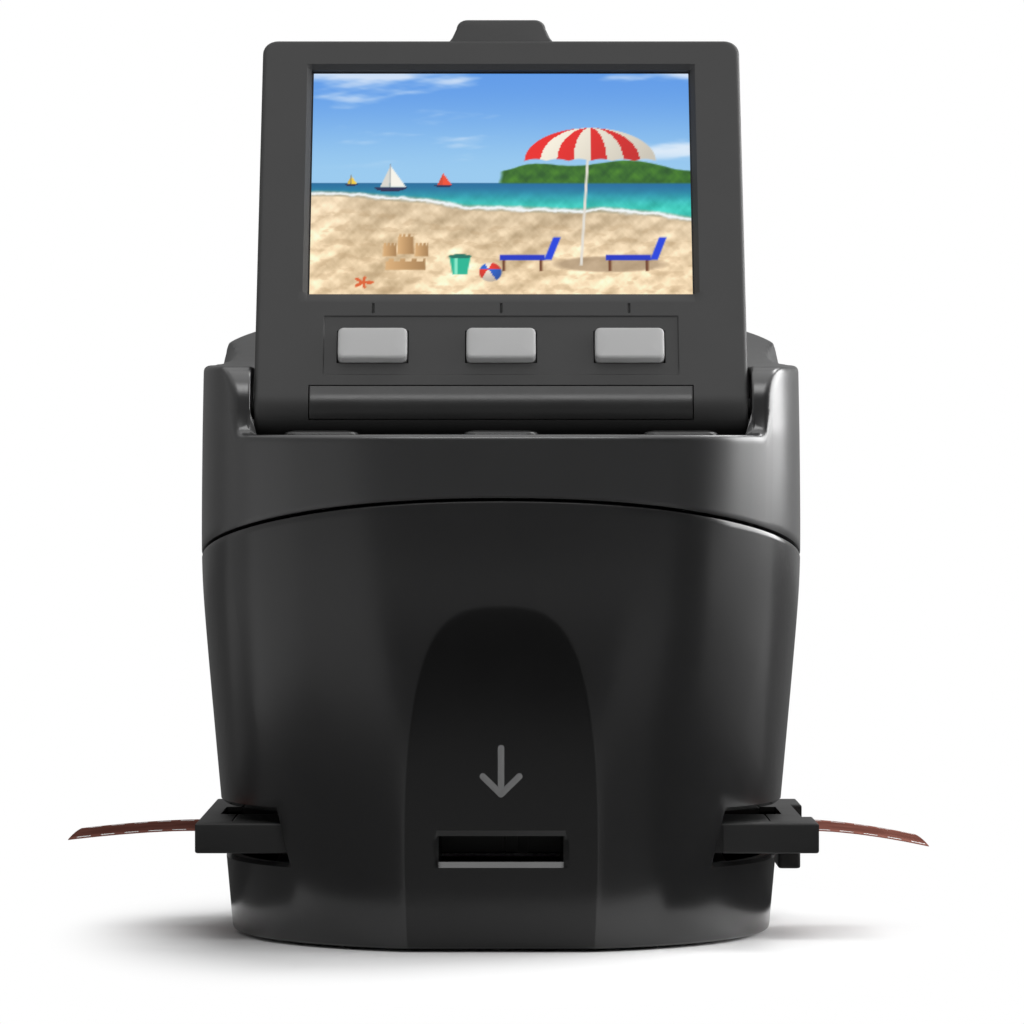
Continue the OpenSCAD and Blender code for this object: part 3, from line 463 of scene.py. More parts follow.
def full_turn(runs: list[Array], steps: int) -> tuple[Array, list[Array]]:
    """Joins four runs of angles into one turn, with even steps over each corner.

    Args:
        runs: Angles along their last axis: front, right, rear and left.
        steps: Steps from the end of a run to the start of the next.

    Returns:
        The angles, and the column numbers of each run.
    """
    corner = np.linspace(0, 1, steps + 1)[1:-1]
    parts, columns, start = [], [], 0
    for k, run in enumerate(runs):
        after = runs[(k + 1) % 4][..., :1] + (2 * HALF_TURN if k == 3 else 0)
        parts += [run, run[..., -1:] + (after - run[..., -1:]) * corner]
        columns.append(np.arange(start, start + run.shape[-1]))
        start += run.shape[-1] + len(corner)
    return np.concatenate(parts, axis=-1), columns


def spline(knots: Array, count: int) -> Array:
    """Points along a curve through all knots.

    Each span is a cubic Hermite whose end slopes are half the chord of the neighbours
    (Catmull-Rom), and the samples are even in chord length.

    Args:
        knots: Points, one a row.
        count: How many samples to return.

    Returns:
        The samples, count rows.
    """
    chord = np.linalg.norm(np.diff(knots, axis=0), axis=1)
    at = np.concatenate([[0.0], np.cumsum(chord)])
    slope = np.gradient(knots, at, axis=0)
    t = np.linspace(0, at[-1], count)
    i = np.clip(np.searchsorted(at, t, side="right") - 1, 0, len(chord) - 1)
    h = chord[i][:, None]
    u = ((t - at[i]) / chord[i])[:, None]
    return (
        (2 * u**3 - 3 * u**2 + 1) * knots[i]
        + (u**3 - 2 * u**2 + u) * h * slope[i]
        + (3 * u**2 - 2 * u**3) * knots[i + 1]
        + (u**3 - u**2) * h * slope[i + 1]
    )


def bent(knots: Array, radius: float, steps: int = 5) -> Array:
    """Polyline with each inner corner replaced by a quadratic curve.

    Args:
        knots: Corners, points x 2.
        radius: Distance from the corner at which the curve starts, or less on a short line.
        steps: Steps in each curve.

    Returns:
        The rounded line.
    """
    before, at, after = knots[:-2], knots[1:-1], knots[2:]
    d_in, d_out = before - at, after - at
    l_in = np.linalg.norm(d_in, axis=1, keepdims=True)
    l_out = np.linalg.norm(d_out, axis=1, keepdims=True)
    reach = np.minimum(radius, 0.48 * np.minimum(l_in, l_out))
    a, c = at + d_in / l_in * reach, at + d_out / l_out * reach
    t = np.linspace(0, 1, steps + 1)[None, :, None]
    curve = quadratic(a[:, None], at[:, None], c[:, None], t)
    return np.concatenate([knots[:1], curve.reshape(-1, 2), knots[-1:]])


def rounded_box(width: float, height: float, radius: float, count: int = 6) -> Array:
    """Outline of a rectangle with round corners about the origin, anticlockwise.

    Each corner is a quarter circle of count + 1 points: centre + radius (cos t, sin t).

    Args:
        width: Size along the first axis.
        height: Size along the second axis.
        radius: Corner radius, cut down to half the shorter side.
        count: Steps in each corner.

    Returns:
        Points, 4 (count + 1) rows of 2.
    """
    radius = min(radius, width / 2, height / 2)
    turn = np.linspace(0, QUARTER_TURN, count + 1)
    corners = []
    for k, (sx, sy) in enumerate(((1, 1), (-1, 1), (-1, -1), (1, -1))):
        t = turn + k * QUARTER_TURN
        corners.append(stack(sx * (width / 2 - radius) + radius * np.cos(t),
                             sy * (height / 2 - radius) + radius * np.sin(t)))
    return np.concatenate(corners)


class Surface:
    """Points and faces gathered from numpy patches, in millimetres."""

    weld = 0.0005

    def __init__(self) -> None:
        """Starts with no points and no faces."""
        self.points: list[Array] = []
        self.faces: list[Array] = []
        self.count = 0

    def _add(self, points: Array) -> int:
        """Keeps the points and returns the number of the first."""
        start = self.count
        self.points.append(points.reshape(-1, 3))
        self.count += len(self.points[-1])
        return start

    @staticmethod
    def cells(rows: int, cols: int, wrap_rows: bool = False, wrap_cols: bool = False) -> Array:
        """Corner numbers of every cell of a grid, as an array of rows x columns x 4."""
        i = np.arange(rows if wrap_rows else rows - 1)[:, None]
        j = np.arange(cols if wrap_cols else cols - 1)[None, :]
        ni, nj = (i + 1) % rows, (j + 1) % cols
        return np.stack([i * cols + j, i * cols + nj, ni * cols + nj, ni * cols + j], axis=-1)

    def grid(
        self, points: Array, wrap_rows: bool = False, wrap_cols: bool = False
    ) -> "Surface":
        """Adds a patch: neighbours in the grid of points are joined by quads.

        Args:
            points: Rows x columns x 3.
            wrap_rows: Whether the last row joins the first.
            wrap_cols: Whether the last column joins the first.

        Returns:
            This surface.
        """
        cells = self.cells(points.shape[0], points.shape[1], wrap_rows, wrap_cols)
        self.faces.append(cells.reshape(-1, 4) + self._add(points))
        return self

    def sandwich(
        self, outer: Array, inner: Array, keep: Array, wrap_cols: bool = False
    ) -> "Surface":
        """Adds two like grids and the walls that join them round every kept area.

        Args:
            outer: Rows x columns x 3 of the outside.
            inner: The same of the inside.
            keep: Which cells exist.
            wrap_cols: Whether the last column joins the first.

        Returns:
            This surface.
        """
        cells = self.cells(outer.shape[0], outer.shape[1], False, wrap_cols)[keep]
        a, b = self._add(outer), self._add(inner)
        self.faces += [cells + a, cells[:, ::-1] + b]
        edges = np.stack([cells, np.roll(cells, -1, axis=1)], axis=-1).reshape(-1, 2)
        low, high = edges.min(axis=1), edges.max(axis=1)
        _, first, times = np.unique(low * self.count + high, return_index=True,
                                    return_counts=True)
        start, end = edges[first[times == 1]].T
        self.faces.append(np.stack([end + a, start + a, start + b, end + b], axis=-1))
        return self

    def loft(self, rings: list[Array]) -> "Surface":
        """Adds closed rings joined one to the next, both ends closed to their middles.

        Args:
            rings: Rings of points x 3, all of one length.

        Returns:
            This surface.
        """
        first, last = (np.tile(ring.mean(axis=0), (len(ring), 1))
                       for ring in (rings[0], rings[-1]))
        return self.grid(np.stack([first, *rings, last]), wrap_cols=True)

    def block(
        self,
        outline: Callable[[float], Array],
        low: float,
        high: float,
        place: Callable[[Array, Array], Array],
        edge: float = 0.4,
        low_edge: Optional[float] = None,
        steps: int = 4,
    ) -> "Surface":
        """Adds a plate whose outline is carried from low to high with rounded edges.

        Near each end the outline is set in by edge (1 - sin t) while the height moves by
        edge (1 - cos t), a quarter circle.

        Args:
            outline: Gives the outline set in by a distance, as points x 2.
            low: Height of the start.
            high: Height of the end.
            place: Turns outline points and heights into points in space.
            edge: Radius of the edge at the end.
            low_edge: Radius of the edge at the start, edge if left out.
            steps: Steps in each rounding.

        Returns:
            This surface.
        """
        low_edge = edge if low_edge is None else low_edge
        t = np.linspace(0, QUARTER_TURN, steps + 1)
        rings = []
        for radius, base, sign, turn in ((low_edge, low, 1, t), (edge, high, -1, t[::-1])):
            for angle in turn:
                flat = outline(radius * (1 - math.sin(angle)))
                height = base + sign * radius * (1 - math.cos(angle))
                rings.append(place(flat, np.full(len(flat), height)))
        return self.loft(rings)

    def _welded(self) -> tuple[Array, Array, Array]:
        """Merges points that meet and drops cells that have closed up.

        Returns:
            The points, the quads and the triangles.
        """
        points = np.concatenate(self.points)
        key = np.round(points / self.weld).astype(np.int64)
        _, first, inverse = np.unique(key, axis=0, return_index=True, return_inverse=True)
        faces = inverse.reshape(-1)[np.concatenate(self.faces)]
        same = faces == np.roll(faces, -1, axis=1)
        open_ = (faces[:, 0] != faces[:, 2]) & (faces[:, 1] != faces[:, 3])
        closed = same.sum(axis=1)
        quads = faces[(closed == 0) & open_]
        one = (closed == 1) & open_
        triangles = faces[one][~same[one]].reshape(-1, 3)
        used = np.zeros(len(first), bool)
        used[quads] = True
        used[triangles] = True
        number = np.cumsum(used) - 1
        return points[first][used], number[quads], number[triangles]

    def piece(
        self,
        name: str,
        body: str,
        finish: Finish | FilmFinish,
        slot: str,
        replaces: tuple[str, ...] = (),
        sharp: float = 34.0,
        turn_out: bool = True,
    ) -> bpy.types.Object:
        """Makes the mesh object and gives it its body and finish.

        Args:
            name: Name of the piece.
            body: Body that it rides on.
            finish: Its finish.
            slot: Material slot of the record; not used.
            replaces: Construction nodes that it stands for.
            sharp: Angle in degrees past which an edge is drawn sharp.
            turn_out: Whether the faces are turned outwards.

        Returns:
            The object.
        """
        points, quads, triangles = self._welded()
        mesh = bpy.data.meshes.new(name)
        mesh.from_pydata((points * MM).tolist(), [], quads.tolist() + triangles.tolist())
        mesh.validate()
        if turn_out:
            work = bmesh.new()
            work.from_mesh(mesh)
            bmesh.ops.recalc_face_normals(work, faces=work.faces[:])
            work.to_mesh(mesh)
            work.free()
        mesh.polygons.foreach_set("use_smooth", np.ones(len(mesh.polygons), bool))
        mesh.set_sharp_from_angle(angle=math.radians(sharp))
        mesh.materials.append(finish.material())
        return enter(mesh, body, replaces)


def enter(
    mesh: bpy.types.Mesh, body: str, replaces: tuple[str, ...]
) -> bpy.types.Object:
    """Puts a finished mesh into the scene as a piece of that name.

    Args:
        mesh: The mesh, with its materials.
        body: Body that it rides on.
        replaces: Construction nodes that it stands for.

    Returns:
        The object.
    """
    made = bpy.data.objects.new(mesh.name, mesh)
    bpy.context.scene.collection.objects.link(made)
    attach(made, body)
    if replaces:
        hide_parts(*replaces)
    LOG.info("%s: %d faces on %s", mesh.name, len(mesh.polygons), body)
    return made


# ---- Casing ----


@dataclass
class Outline:
    """Plan outline of the casing, a superellipse that narrows towards the table."""

    half_w: float = 60.2
    half_d: float = 63.0
    low_draft: float = 0.087
    top_draft: float = 0.019
    bend_z: float = 72.0
    bend: float = 8.0
    power_low: float = 2.05
    power_rise: float = 1.15
    power_z: float = 100.0

    def _soft(self, u: Array) -> Array:
        """Zero below 0 and u above it, with a round bend: (u + sqrt(u^2 + b^2)) / 2."""
        return (u + np.sqrt(u * u + self.bend**2)) / 2

    def halves(self, z: Array, inset: Array | float = 0.0) -> tuple[Array, Array, Array]:
        """Half sizes and exponent of the outline.

        The draft is a straight slope below bend_z and a slighter one above it, and the
        exponent grows evenly from the table to power_z.

        Args:
            z: Heights.
            inset: How far the outline is set in.

        Returns:
            Half width, half depth and exponent.
        """
        low, high = self._soft(self.bend_z - z), self._soft(z - self.bend_z)
        draft = self.low_draft * low + self.top_draft * high
        power = self.power_low + self.power_rise * np.clip(z, 0, self.power_z) / self.power_z
        return self.half_w - draft - inset, self.half_d - draft - inset, power

    def point(self, angle: Array, z: Array, inset: Array | float = 0.0) -> tuple[Array, Array]:
        """X and Y at that angle: half size times the cosine or sine raised to 2 / power."""
        half_w, half_d, power = self.halves(z, inset)
        return (half_w * signed_power(np.cos(angle), 2 / power),
                half_d * signed_power(np.sin(angle), 2 / power))

    def points(self, angle: Array, z: Array, inset: Array | float = 0.0) -> Array:
        """The same as whole points, z among them."""
        return stack(*self.point(angle, z, inset), z)

    def angle_at_x(self, x: Array, z: Array, side: int) -> Array:
        """Angle at which the outline has that X, on the front (-1) or the rear (1)."""
        half_w, _, power = self.halves(z)
        share = np.clip(np.abs(x) / half_w, 0, 1) ** (power / 2)
        return side * np.arccos(np.sign(x) * share)

    def angle_at_y(self, y: Array, z: Array, side: int) -> Array:
        """Angle at which the outline has that Y, on the right (1) or the left (-1)."""
        _, half_d, power = self.halves(z)
        turn = np.arcsin(np.sign(y) * np.clip(np.abs(y) / half_d, 0, 1) ** (power / 2))
        return turn if side > 0 else HALF_TURN - turn

    def depth_at_x(self, x: Array, z: Array, inset: float = 0.0) -> Array:
        """Depth at X: half depth times (1 - (x / half width)^power)^(1 / power)."""
        half_w, half_d, power = self.halves(z, inset)
        return half_d * (1 - np.clip(np.abs(x) / half_w, 0, 1) ** power) ** (1 / power)


@dataclass
class Casing:
    """Both halves of the casing: a drafted lower shell and an upper shell with two ears."""

    outline: Outline = field(default_factory=Outline)
    wall: float = 2.5
    low_z: float = 0.6
    foot_round: tuple[Pair, ...] = ((0, 0.9), (0.12, 0.42), (0.4, 0.12), (0.9, 0))
    stretch_z: float = 64.0
    stretch_rise: float = 14.0
    seam_z: float = 87.0
    seam_drop: float = 4.84
    seam_fall: float = 8.2
    seam_gap: float = 0.42
    seam_round: float = 0.55
    channel_half: float = 41.5
    channel_low: float = 16.2
    channel_high: float = 26.4
    chamfer: float = 0.75
    scoop_low: Pair = (54.0, 2.1)
    scoop_run: Pair = (8.3, 64.5)
    scoop_crease: float = 0.1
    window_half_w: float = 13.05
    window_low: float = 16.4
    window_high: float = 23.6
    window_bevel: float = 1.1
    window_sink: float = 0.7
    backing: tuple[float, float, float] = (27.0, 70.6, -51.3)
    front_half_w: float = 29.0
    recess_half_w: float = 33.0
    recess_low: float = 46.0
    recess_high: float = 62.0
    recess_y: float = 54.0
    recess_lip: float = 0.4
    ports: tuple[Pair, ...] = ((-24.0, 9.6), (-6.0, 11.8), (17.5, 27.6))
    port_low: float = 51.3
    port_high: float = 55.2
    lip_z: float = 99.4
    lip_y: float = -45.3
    ear_z: float = 112.9
    rim_curve: float = 0.00142
    rim_start: float = -36.0
    well_x: float = 48.5
    well_back: float = 45.1
    well_low: float = 94.0
    notch_half_w: float = 12.5
    notch_back: float = 50.5
    notch_z: float = 111.1
    finger_at: Point = (66.7, 8.0, 128.0)
    finger_size: Point = (14.1, 40.0, 24.0)
    rim_round: float = 1.3
    inner_round: float = 0.6

    def seam(self, x: Array, y: Array) -> Array:
        """Height of the joint: an arch across X that falls evenly to the rear."""
        arch = self.seam_drop * (x / self.outline.half_w) ** 2
        return self.seam_z - arch - self.seam_fall * (1 + y / self.outline.half_d)

    def scoop(self, z: Array | float) -> Array | float:
        """Distance of the sloping scoop plane in front of the middle plane at height z."""
        (start, low), (out, up) = self.scoop_low, self.scoop_run
        return start + out * (z - low) / up

    def scoop_edge(self, z: Array) -> Array:
        """Half width at which the scoop plane leaves the outline, zero above its apex."""
        half_w, half_d, power = self.outline.halves(z)
        share = np.clip(self.scoop(z) / half_d, 0, 1) ** power
        return half_w * (1 - share) ** (1 / power)

    # -- lower shell --

    def _lower_rows(self) -> tuple[Array, Array]:
        """Rows of the lower shell's wall up to stretch_z.

        Returns:
            Their heights and how far each is set in.
        """
        bevel, w_bevel = self.chamfer, self.window_bevel
        plain = lines(
            spread(2.6, 15.4, step=1.6), spread(18.5, 21.5, step=1.5),
            spread(28.6, 45.0, step=1.7), spread(48.0, 50.0, step=1.5),
            spread(56.5, 61.0, step=0.75), [63.2, self.stretch_z],
            [self.channel_low - bevel, self.channel_low],
            [self.channel_high, self.channel_high + bevel],
            [self.window_low, self.window_low + w_bevel],
            [self.window_high - w_bevel, self.window_high],
            self.recess_low + np.array([-0.5, 0, 0.3]),
            self.recess_high + np.array([-0.3, 0, 0.5]), [self.port_low, self.port_high],
        )
        rise, inset = np.array(self.foot_round).T
        return (np.concatenate([self.low_z + rise, plain]),
                np.concatenate([inset, np.zeros(len(plain))]))

    def _lower_angles(self, z: Array) -> tuple[Array, list[Array], Array, Array]:
        """Angles of the lower shell's columns, with a column on every edge.

        In front the columns follow the window, then the scoop's edge, and spread evenly
        from there; on the sides and the rear they lie at fixed Y and X.

        Args:
            z: Height of each row, as a column.

        Returns:
            The angles, the columns of the front, right, rear and left, the Y of the right
            ones and the X of the rear ones.
        """
        out = self.outline
        front = spread(0.0, self.window_half_w - self.window_bevel, self.window_half_w)
        edge = np.maximum(self.scoop_edge(z), 4.0)
        inside = front * np.minimum(1.0, edge / 17.6)
        to_edge = inside[:, -1:] + (edge - inside[:, -1:]) * np.linspace(0, 1, 8)[1:]
        beyond = edge + np.array([0.35, 1.2, 2.4])
        outer = beyond[:, -1:] + (self.front_half_w - beyond[:, -1:]) * np.linspace(0, 1, 7)[1:]
        x_front = mirrored(np.concatenate([inside, to_edge, beyond, outer], axis=1))
        half, recess = self.channel_half, self.recess_half_w
        y_side = spread(-half - self.chamfer, -half, half, half + self.chamfer, step=2.2)
        port_edges = {x + s * width / 2 for x, width in self.ports for s in (-1, 1)}
        ends = recess + np.array([0.5, 0.0, -0.3])
        x_rear = lines(spread(*sorted(port_edges | {-recess, recess}), step=2.2), ends, -ends)
        x_rear = x_rear[::-1]
        angle, columns = full_turn([
            out.angle_at_x(x_front, z, -1), out.angle_at_y(y_side, z, 1),
            out.angle_at_x(x_rear, z, 1), out.angle_at_y(y_side[::-1], z, -1),
        ], 8)
        return angle, columns, y_side, x_rear

    def lower_shell(self) -> None:
        """Lower shell: outline rows, a scoop, an index window, film slots and rear ports.

        The outside is the outline at each row's height. In front it is cut by the scoop
        plane, the rows above stretch_z are stretched up to the arched joint, and edges are
        rounded by setting the last rows in. The inside is the same grid set in by the wall.
        """
        z_fixed, inset_fixed = self._lower_rows()
        top = 14
        share = np.concatenate([np.zeros(len(z_fixed)), np.linspace(0, 1, top + 1)[1:]])
        share = share[:, None]
        z_rows = np.concatenate([z_fixed, np.full(top, self.stretch_z)])[:, None]
        inset = np.concatenate([inset_fixed, np.zeros(top)])[:, None]
        angle, (front, right, rear, left), y_side, x_rear = self._lower_angles(
            z_rows + share * self.stretch_rise)
        z = z_rows + np.zeros_like(angle)
        for _ in range(3):
            x, y = self.outline.point(angle, z)
            z = z_rows + share * (self.seam(x, y) - self.seam_gap / 2 - self.stretch_z)
        cut = np.array([[self.seam_round, 0.0], [0.18, 0.12], [0.0, 0.5]])
        z = np.concatenate([z[:-1], z[-1:] - cut[:, :1]])
        inset = np.concatenate([inset[:-1], cut[:, 1:]]) + np.zeros_like(z)
        angle = np.concatenate([angle[:-1], np.repeat(angle[-1:], 3, 0)])
        z_name = z[:, 0]

        def rows(low: float, high: float) -> Array:
            """Rows whose height lies between low and high."""
            return np.flatnonzero((z_name > low - 0.01) & (z_name < high + 0.01))

        slot_rows = rows(self.channel_low, self.channel_high)
        slots = [run[np.abs(y_side) <= self.channel_half + 0.01] for run in (right, left)]
        inset[np.ix_(slot_rows, np.concatenate(slots))] = self.chamfer
        x, y = self.outline.point(angle, z, inset)
        xi, yi = self.outline.point(angle, z, self.wall)

        x_front, z_front = x[:, front], z[:, front]
        y[:, front] = smooth_max(y[:, front], inset[:, front] - self.scoop(z_front),
                                 self.scoop_crease)
        y[:, front] += self.window_sink * share_in(
            self.window_bevel, self.window_half_w - np.abs(x_front),
            z_front - self.window_low, self.window_high - z_front)
        back_x, back_z, back_y = self.backing
        backed = (np.abs(x_front) < back_x) & (z_front < back_z)
        yi[:, front] = np.where(backed, np.maximum(yi[:, front], back_y), yi[:, front])

        recess = rear[np.abs(x_rear) < self.recess_half_w - 0.2]
        recess_rows = rows(self.recess_low + 0.21, self.recess_high - 0.21)
        lip = np.zeros(z.shape, bool)
        lip[np.ix_(rows(self.recess_low, self.recess_high),
                   rear[np.abs(x_rear) < self.recess_half_w + 0.01])] = True
        lip[np.ix_(recess_rows, recess)] = False
        y[np.ix_(recess_rows, recess)] = self.recess_y
        y[lip] -= self.recess_lip
        block = np.ix_(rows(self.recess_low - 3, self.recess_high + 2.1),
                       rear[np.abs(x_rear) < self.recess_half_w + 3])
        yi[block] = np.minimum(yi[block], self.recess_y - self.wall)

        keep = np.ones((len(z) - 1, angle.shape[1]), bool)
        window_row = int(np.argmin(np.abs(z_name - self.window_low)))
        opening = self.window_half_w - self.window_bevel + 0.02
        holes = [(slot_rows, columns) for columns in slots]
        holes.append((rows(self.window_low + self.window_bevel, self.window_high
                           - self.window_bevel), front[np.abs(x_front[window_row]) < opening]))
        holes += [(rows(self.port_low, self.port_high),
                   rear[np.abs(x_rear - at) <= width / 2 + 0.01]) for at, width in self.ports]
        for r, c in holes:
            keep[r[0]:r[-1], c.min():c.max()] = False
        shell = Surface().sandwich(stack(x, y, z), stack(xi, yi, z), keep, wrap_cols=True)
        made = shell.piece(
            "lower_shell_skin", "casing", CASING_LOW, "casing_black", ("lower_shell",), sharp=24
        )
        # The kept depth lays painted shade into the front scoop.
        self._keep_scoop_depth(made.data)

    def _keep_scoop_depth(self, mesh: bpy.types.Mesh) -> None:
        """Keeps on each point how far the scoop plane lies inside the outline there; the finish
        paints shade into the scoop where it is above zero.

        Args:
            mesh: Mesh of the lower shell.
        """
        points = np.empty(3 * len(mesh.vertices))
        mesh.vertices.foreach_get("co", points)
        x, y, z = points.reshape(-1, 3).T / MM
        depth = np.where(y < -40.0, self.outline.depth_at_x(x, z) - self.scoop(z), -1.0)
        mesh.attributes.new("scoop_depth", "FLOAT", "POINT").data.foreach_set("value", depth)

    # -- upper shell --

    def rim_profile(self) -> tuple[Array, Array, Array]:
        """Side profile of the rim from the lip up to the ears and back.

        Returns:
            Y, Z and the unit normals (Y, Z) that point out of the casing, in order of Y.
        """
        knots = np.array([self.lip_y, self.lip_z]) + np.array([
            [-2.4, 0], [-1.75, 0.02], [-0.9, 0.5], [-0.2, 1.8], [0.1, 5], [0.6, 8.2],
            [1.7, 10.6], [3.4, 12.4], [5.8, 13.3], [9.3, 13.5],
        ])
        curve = spline(knots, 46)
        y_back = spread(-34.6, 68.0, step=1.5)
        z_back = self.ear_z + self.rim_curve * np.maximum(0, y_back - self.rim_start) ** 2
        line = np.concatenate([curve, np.column_stack([y_back, z_back])])
        slope = np.gradient(line, axis=0)
        slope /= np.linalg.norm(slope, axis=1, keepdims=True)
        return line[:, 0], line[:, 1], np.column_stack([-slope[:, 1], slope[:, 0]])

    def _rim_at(self, y: Array) -> Array:
        """Height of the rim profile at each Y."""
        rim_y, rim_z, _ = self.rim_profile()
        return np.interp(y, rim_y, rim_z, left=self.lip_z)

    def _scooped(self, points: Array) -> Array:
        """Cuts the two finger scoops: points inside an ellipsoid move out to its surface.

        Offsets from its middle are divided by its half sizes, and those shorter than 1 are
        lengthened to 1, with a small round where they meet the rest.

        Args:
            points: Points of the shell.

        Returns:
            The points, moved.
        """
        cx, cy, cz = self.finger_at
        for side in (-1, 1):
            offset = points - np.array([side * cx, cy, cz])
            far = np.linalg.norm(offset / self.finger_size, axis=-1, keepdims=True)
            out = smooth_max(far, np.ones_like(far), 0.02)
            points = np.where(far < 1.2, points + offset * (out / far - 1), points)
        return points

    def _upper_columns(self) -> tuple[Array, Array, Array]:
        """Columns of the upper shell.

        Returns:
            Angle of each column, its point (X, Y) on the well's edge and the rim's normal.
        """
        out, notch = self.outline, self.notch_half_w
        rim_y, _, rim_n = self.rim_profile()
        inner = self.lip_edge(self.well_x)
        side = (rim_y >= inner) & (rim_y <= self.well_back)
        y_side = np.concatenate([[inner], rim_y[side], [self.well_back]])
        z_side = self._rim_at(y_side)
        n_side = np.column_stack([np.interp(y_side, rim_y, n) for n in rim_n.T])
        x_front = spread(-self.well_x, self.well_x, step=1.35)
        x_rear = np.concatenate([
            spread(self.well_x, notch + 0.08, step=2.0), spread(notch, -notch, step=2.5),
            spread(-notch - 0.08, -self.well_x, step=2.0),
        ])
        rear_z = self._rim_at(out.depth_at_x(x_rear, 126.0))
        back = np.where(np.abs(x_rear) <= notch + 0.01, self.notch_back, self.well_back)
        angle, columns = full_turn([
            out.angle_at_x(x_front, self.lip_z, -1), out.angle_at_y(y_side, z_side, 1),
            out.angle_at_x(x_rear, rear_z, 1), out.angle_at_y(y_side[::-1], z_side[::-1], -1),
        ], 9)
        well = np.empty((len(angle), 2))
        normal = np.tile([0.0, 1.0], (len(angle), 1))
        edges = ((x_front, self.lip_edge(x_front)), (self.well_x, y_side), (x_rear, back),
                 (-self.well_x, y_side[::-1]))
        for start, run, edge in zip([*(c[0] for c in columns[1:]), len(angle)], columns, edges):
            points = np.column_stack(np.broadcast_arrays(*edge))
            well[run], well[run[-1]:start] = points, points[-1]
        normal[columns[1]], normal[columns[3]] = n_side, n_side[::-1]
        return angle, well, normal

    def upper_shell(self) -> None:
        """Upper shell: outside wall, rounded rim, top of the ears, well and inside wall.

        Each column runs up the outline from the joint to the rim, over a quadratic curve
        that rounds the edge, across the top to the well's edge and down the well, and
        back along the inside. Every height on the top is the rim profile's at that Y.
        """
        out, r, q = self.outline, self.rim_round, self.inner_round
        a, well, normal = self._upper_columns()

        def on_rim(flat: Array) -> Array:
            """Points on the rim profile above (X, Y)."""
            return np.column_stack([flat, self._rim_at(flat[:, 1])])

        z_top = np.full_like(a, self.lip_z)
        for _ in range(6):
            edge = out.points(a, z_top)
            z_top = self._rim_at(edge[:, 1])
        edge[:, 2] = z_top
        below = edge[:, 1:] - r * normal
        a = self._angle_like(a, edge[:, 0], *below.T)
        z0 = self.seam(*out.point(a, np.full_like(a, 80.0))) + self.seam_gap / 2
        rows = [out.points(a, z0 + rise, inset)
                for inset, rise in ((0.5, 0.0), (0.12, 0.14), (0.0, self.seam_round))]
        foot = z0 + self.seam_round
        rows += [out.points(a, foot + (below[:, 1] - foot) * t)
                 for t in np.linspace(0, 1, 26)[1:]]
        to_well = well - edge[:, :2]
        reach = np.linalg.norm(to_well, axis=1, keepdims=True)
        inward = to_well / np.maximum(reach, 1e-6)
        outer = edge[:, :2] + inward * np.minimum(r, 0.45 * reach)
        inner = well - inward * np.minimum(q, 0.3 * reach)
        start, end = rows[-1], on_rim(outer)
        rows += [quadratic(start, edge, end, t) for t in np.linspace(0, 1, 7)[1:]]
        rows += [on_rim(outer + (inner - outer) * t) for t in np.linspace(0, 1, 8)[1:]]
        start, brink = rows[-1], on_rim(well)
        drop = brink - q * np.column_stack([np.zeros(len(a)), normal])
        rows += [quadratic(start, brink, drop, t) for t in np.linspace(0, 1, 5)[1:]]
        floor_z = np.where(np.abs(well[:, 1] - self.notch_back) < 0.01, self.notch_z,
                           (drop[:, 2] + self.well_low) / 2)
        rows += [stack(drop[:, 0], drop[:, 1], drop[:, 2] + (floor_z - drop[:, 2]) * t)
                 for t in (0.5, 1.0)]
        y_well = np.minimum(well[:, 1], self.well_back)
        rows += [stack(well[:, 0], y_well, z)
                 for z in (floor_z, (floor_z + self.well_low) / 2, self.well_low)]
        back = [out.points(a, z + 0 * a, self.wall) for z in (self.well_low - 0.1, z0 + 0.6, z0)]
        grid = np.concatenate([self._scooped(np.stack(rows)), np.stack(back)])
        Surface().grid(grid, wrap_rows=True, wrap_cols=True).piece(
            "upper_shell_skin", "casing", CASING, "casing_dark", ("upper_shell",), sharp=38
        )

    def lip_edge(self, x: Array | float) -> Array:
        """Y of the inner edge of the front lip: the outline set in by the wall."""
        return -self.outline.depth_at_x(x, self.lip_z, self.wall)

    def _angle_like(self, a: Array, x: Array, y: Array, z: Array) -> Array:
        """Angles a, moved along the sides so that the outline has each Y at each height."""
        moved = self.outline.angle_at_y(y, z, 1)
        moved = np.where(x >= 0, moved, HALF_TURN - moved)
        beside = (y > self.lip_edge(self.well_x) - 0.01) & (y < self.well_back + 0.01)
        return np.where(beside & (np.abs(x) > self.well_x), moved, a)


# ---- Screen unit ----


@dataclass(frozen=True)
class Lean:
    """Place of the raised screen: its hinge line and how far it leans back."""

    y: float = -39.0
    z: float = 104.5
    degrees: float = 30.0

    def place(self, x: Array, depth: Array, along: Array) -> Array:
        """Turns screen coordinates into space: depth to the back, along up the screen."""
        c, s = math.cos(math.radians(self.degrees)), math.sin(math.radians(self.degrees))
        return stack(x, self.y + c * depth + s * along, self.z - s * depth + c * along)

    def upright(self, flat: Array, depth: Array) -> Array:
        """Places an outline drawn on the screen at a depth behind the hinge line."""
        return self.place(flat[:, 0], depth, flat[:, 1])


def inside(distance: Array, soft: float) -> Array:
    """One where distance is negative, falling to zero over soft."""
    return np.clip(0.5 - distance / soft, 0, 1)


def box(across: Array, along: Array, half_w: float, half_h: float) -> Array:
    """Distance out of a box from offsets to its middle: max(|a| - w, |b| - h)."""
    return np.maximum(np.abs(across) - half_w, np.abs(along) - half_h)


def disc(across: Array, along: Array, half_w: float, half_h: float) -> Array:
    """Below zero inside an ellipse, from offsets to its middle: (a/w)^2 + (b/h)^2 - 1."""
    return (across / half_w) ** 2 + (along / half_h) ** 2 - 1


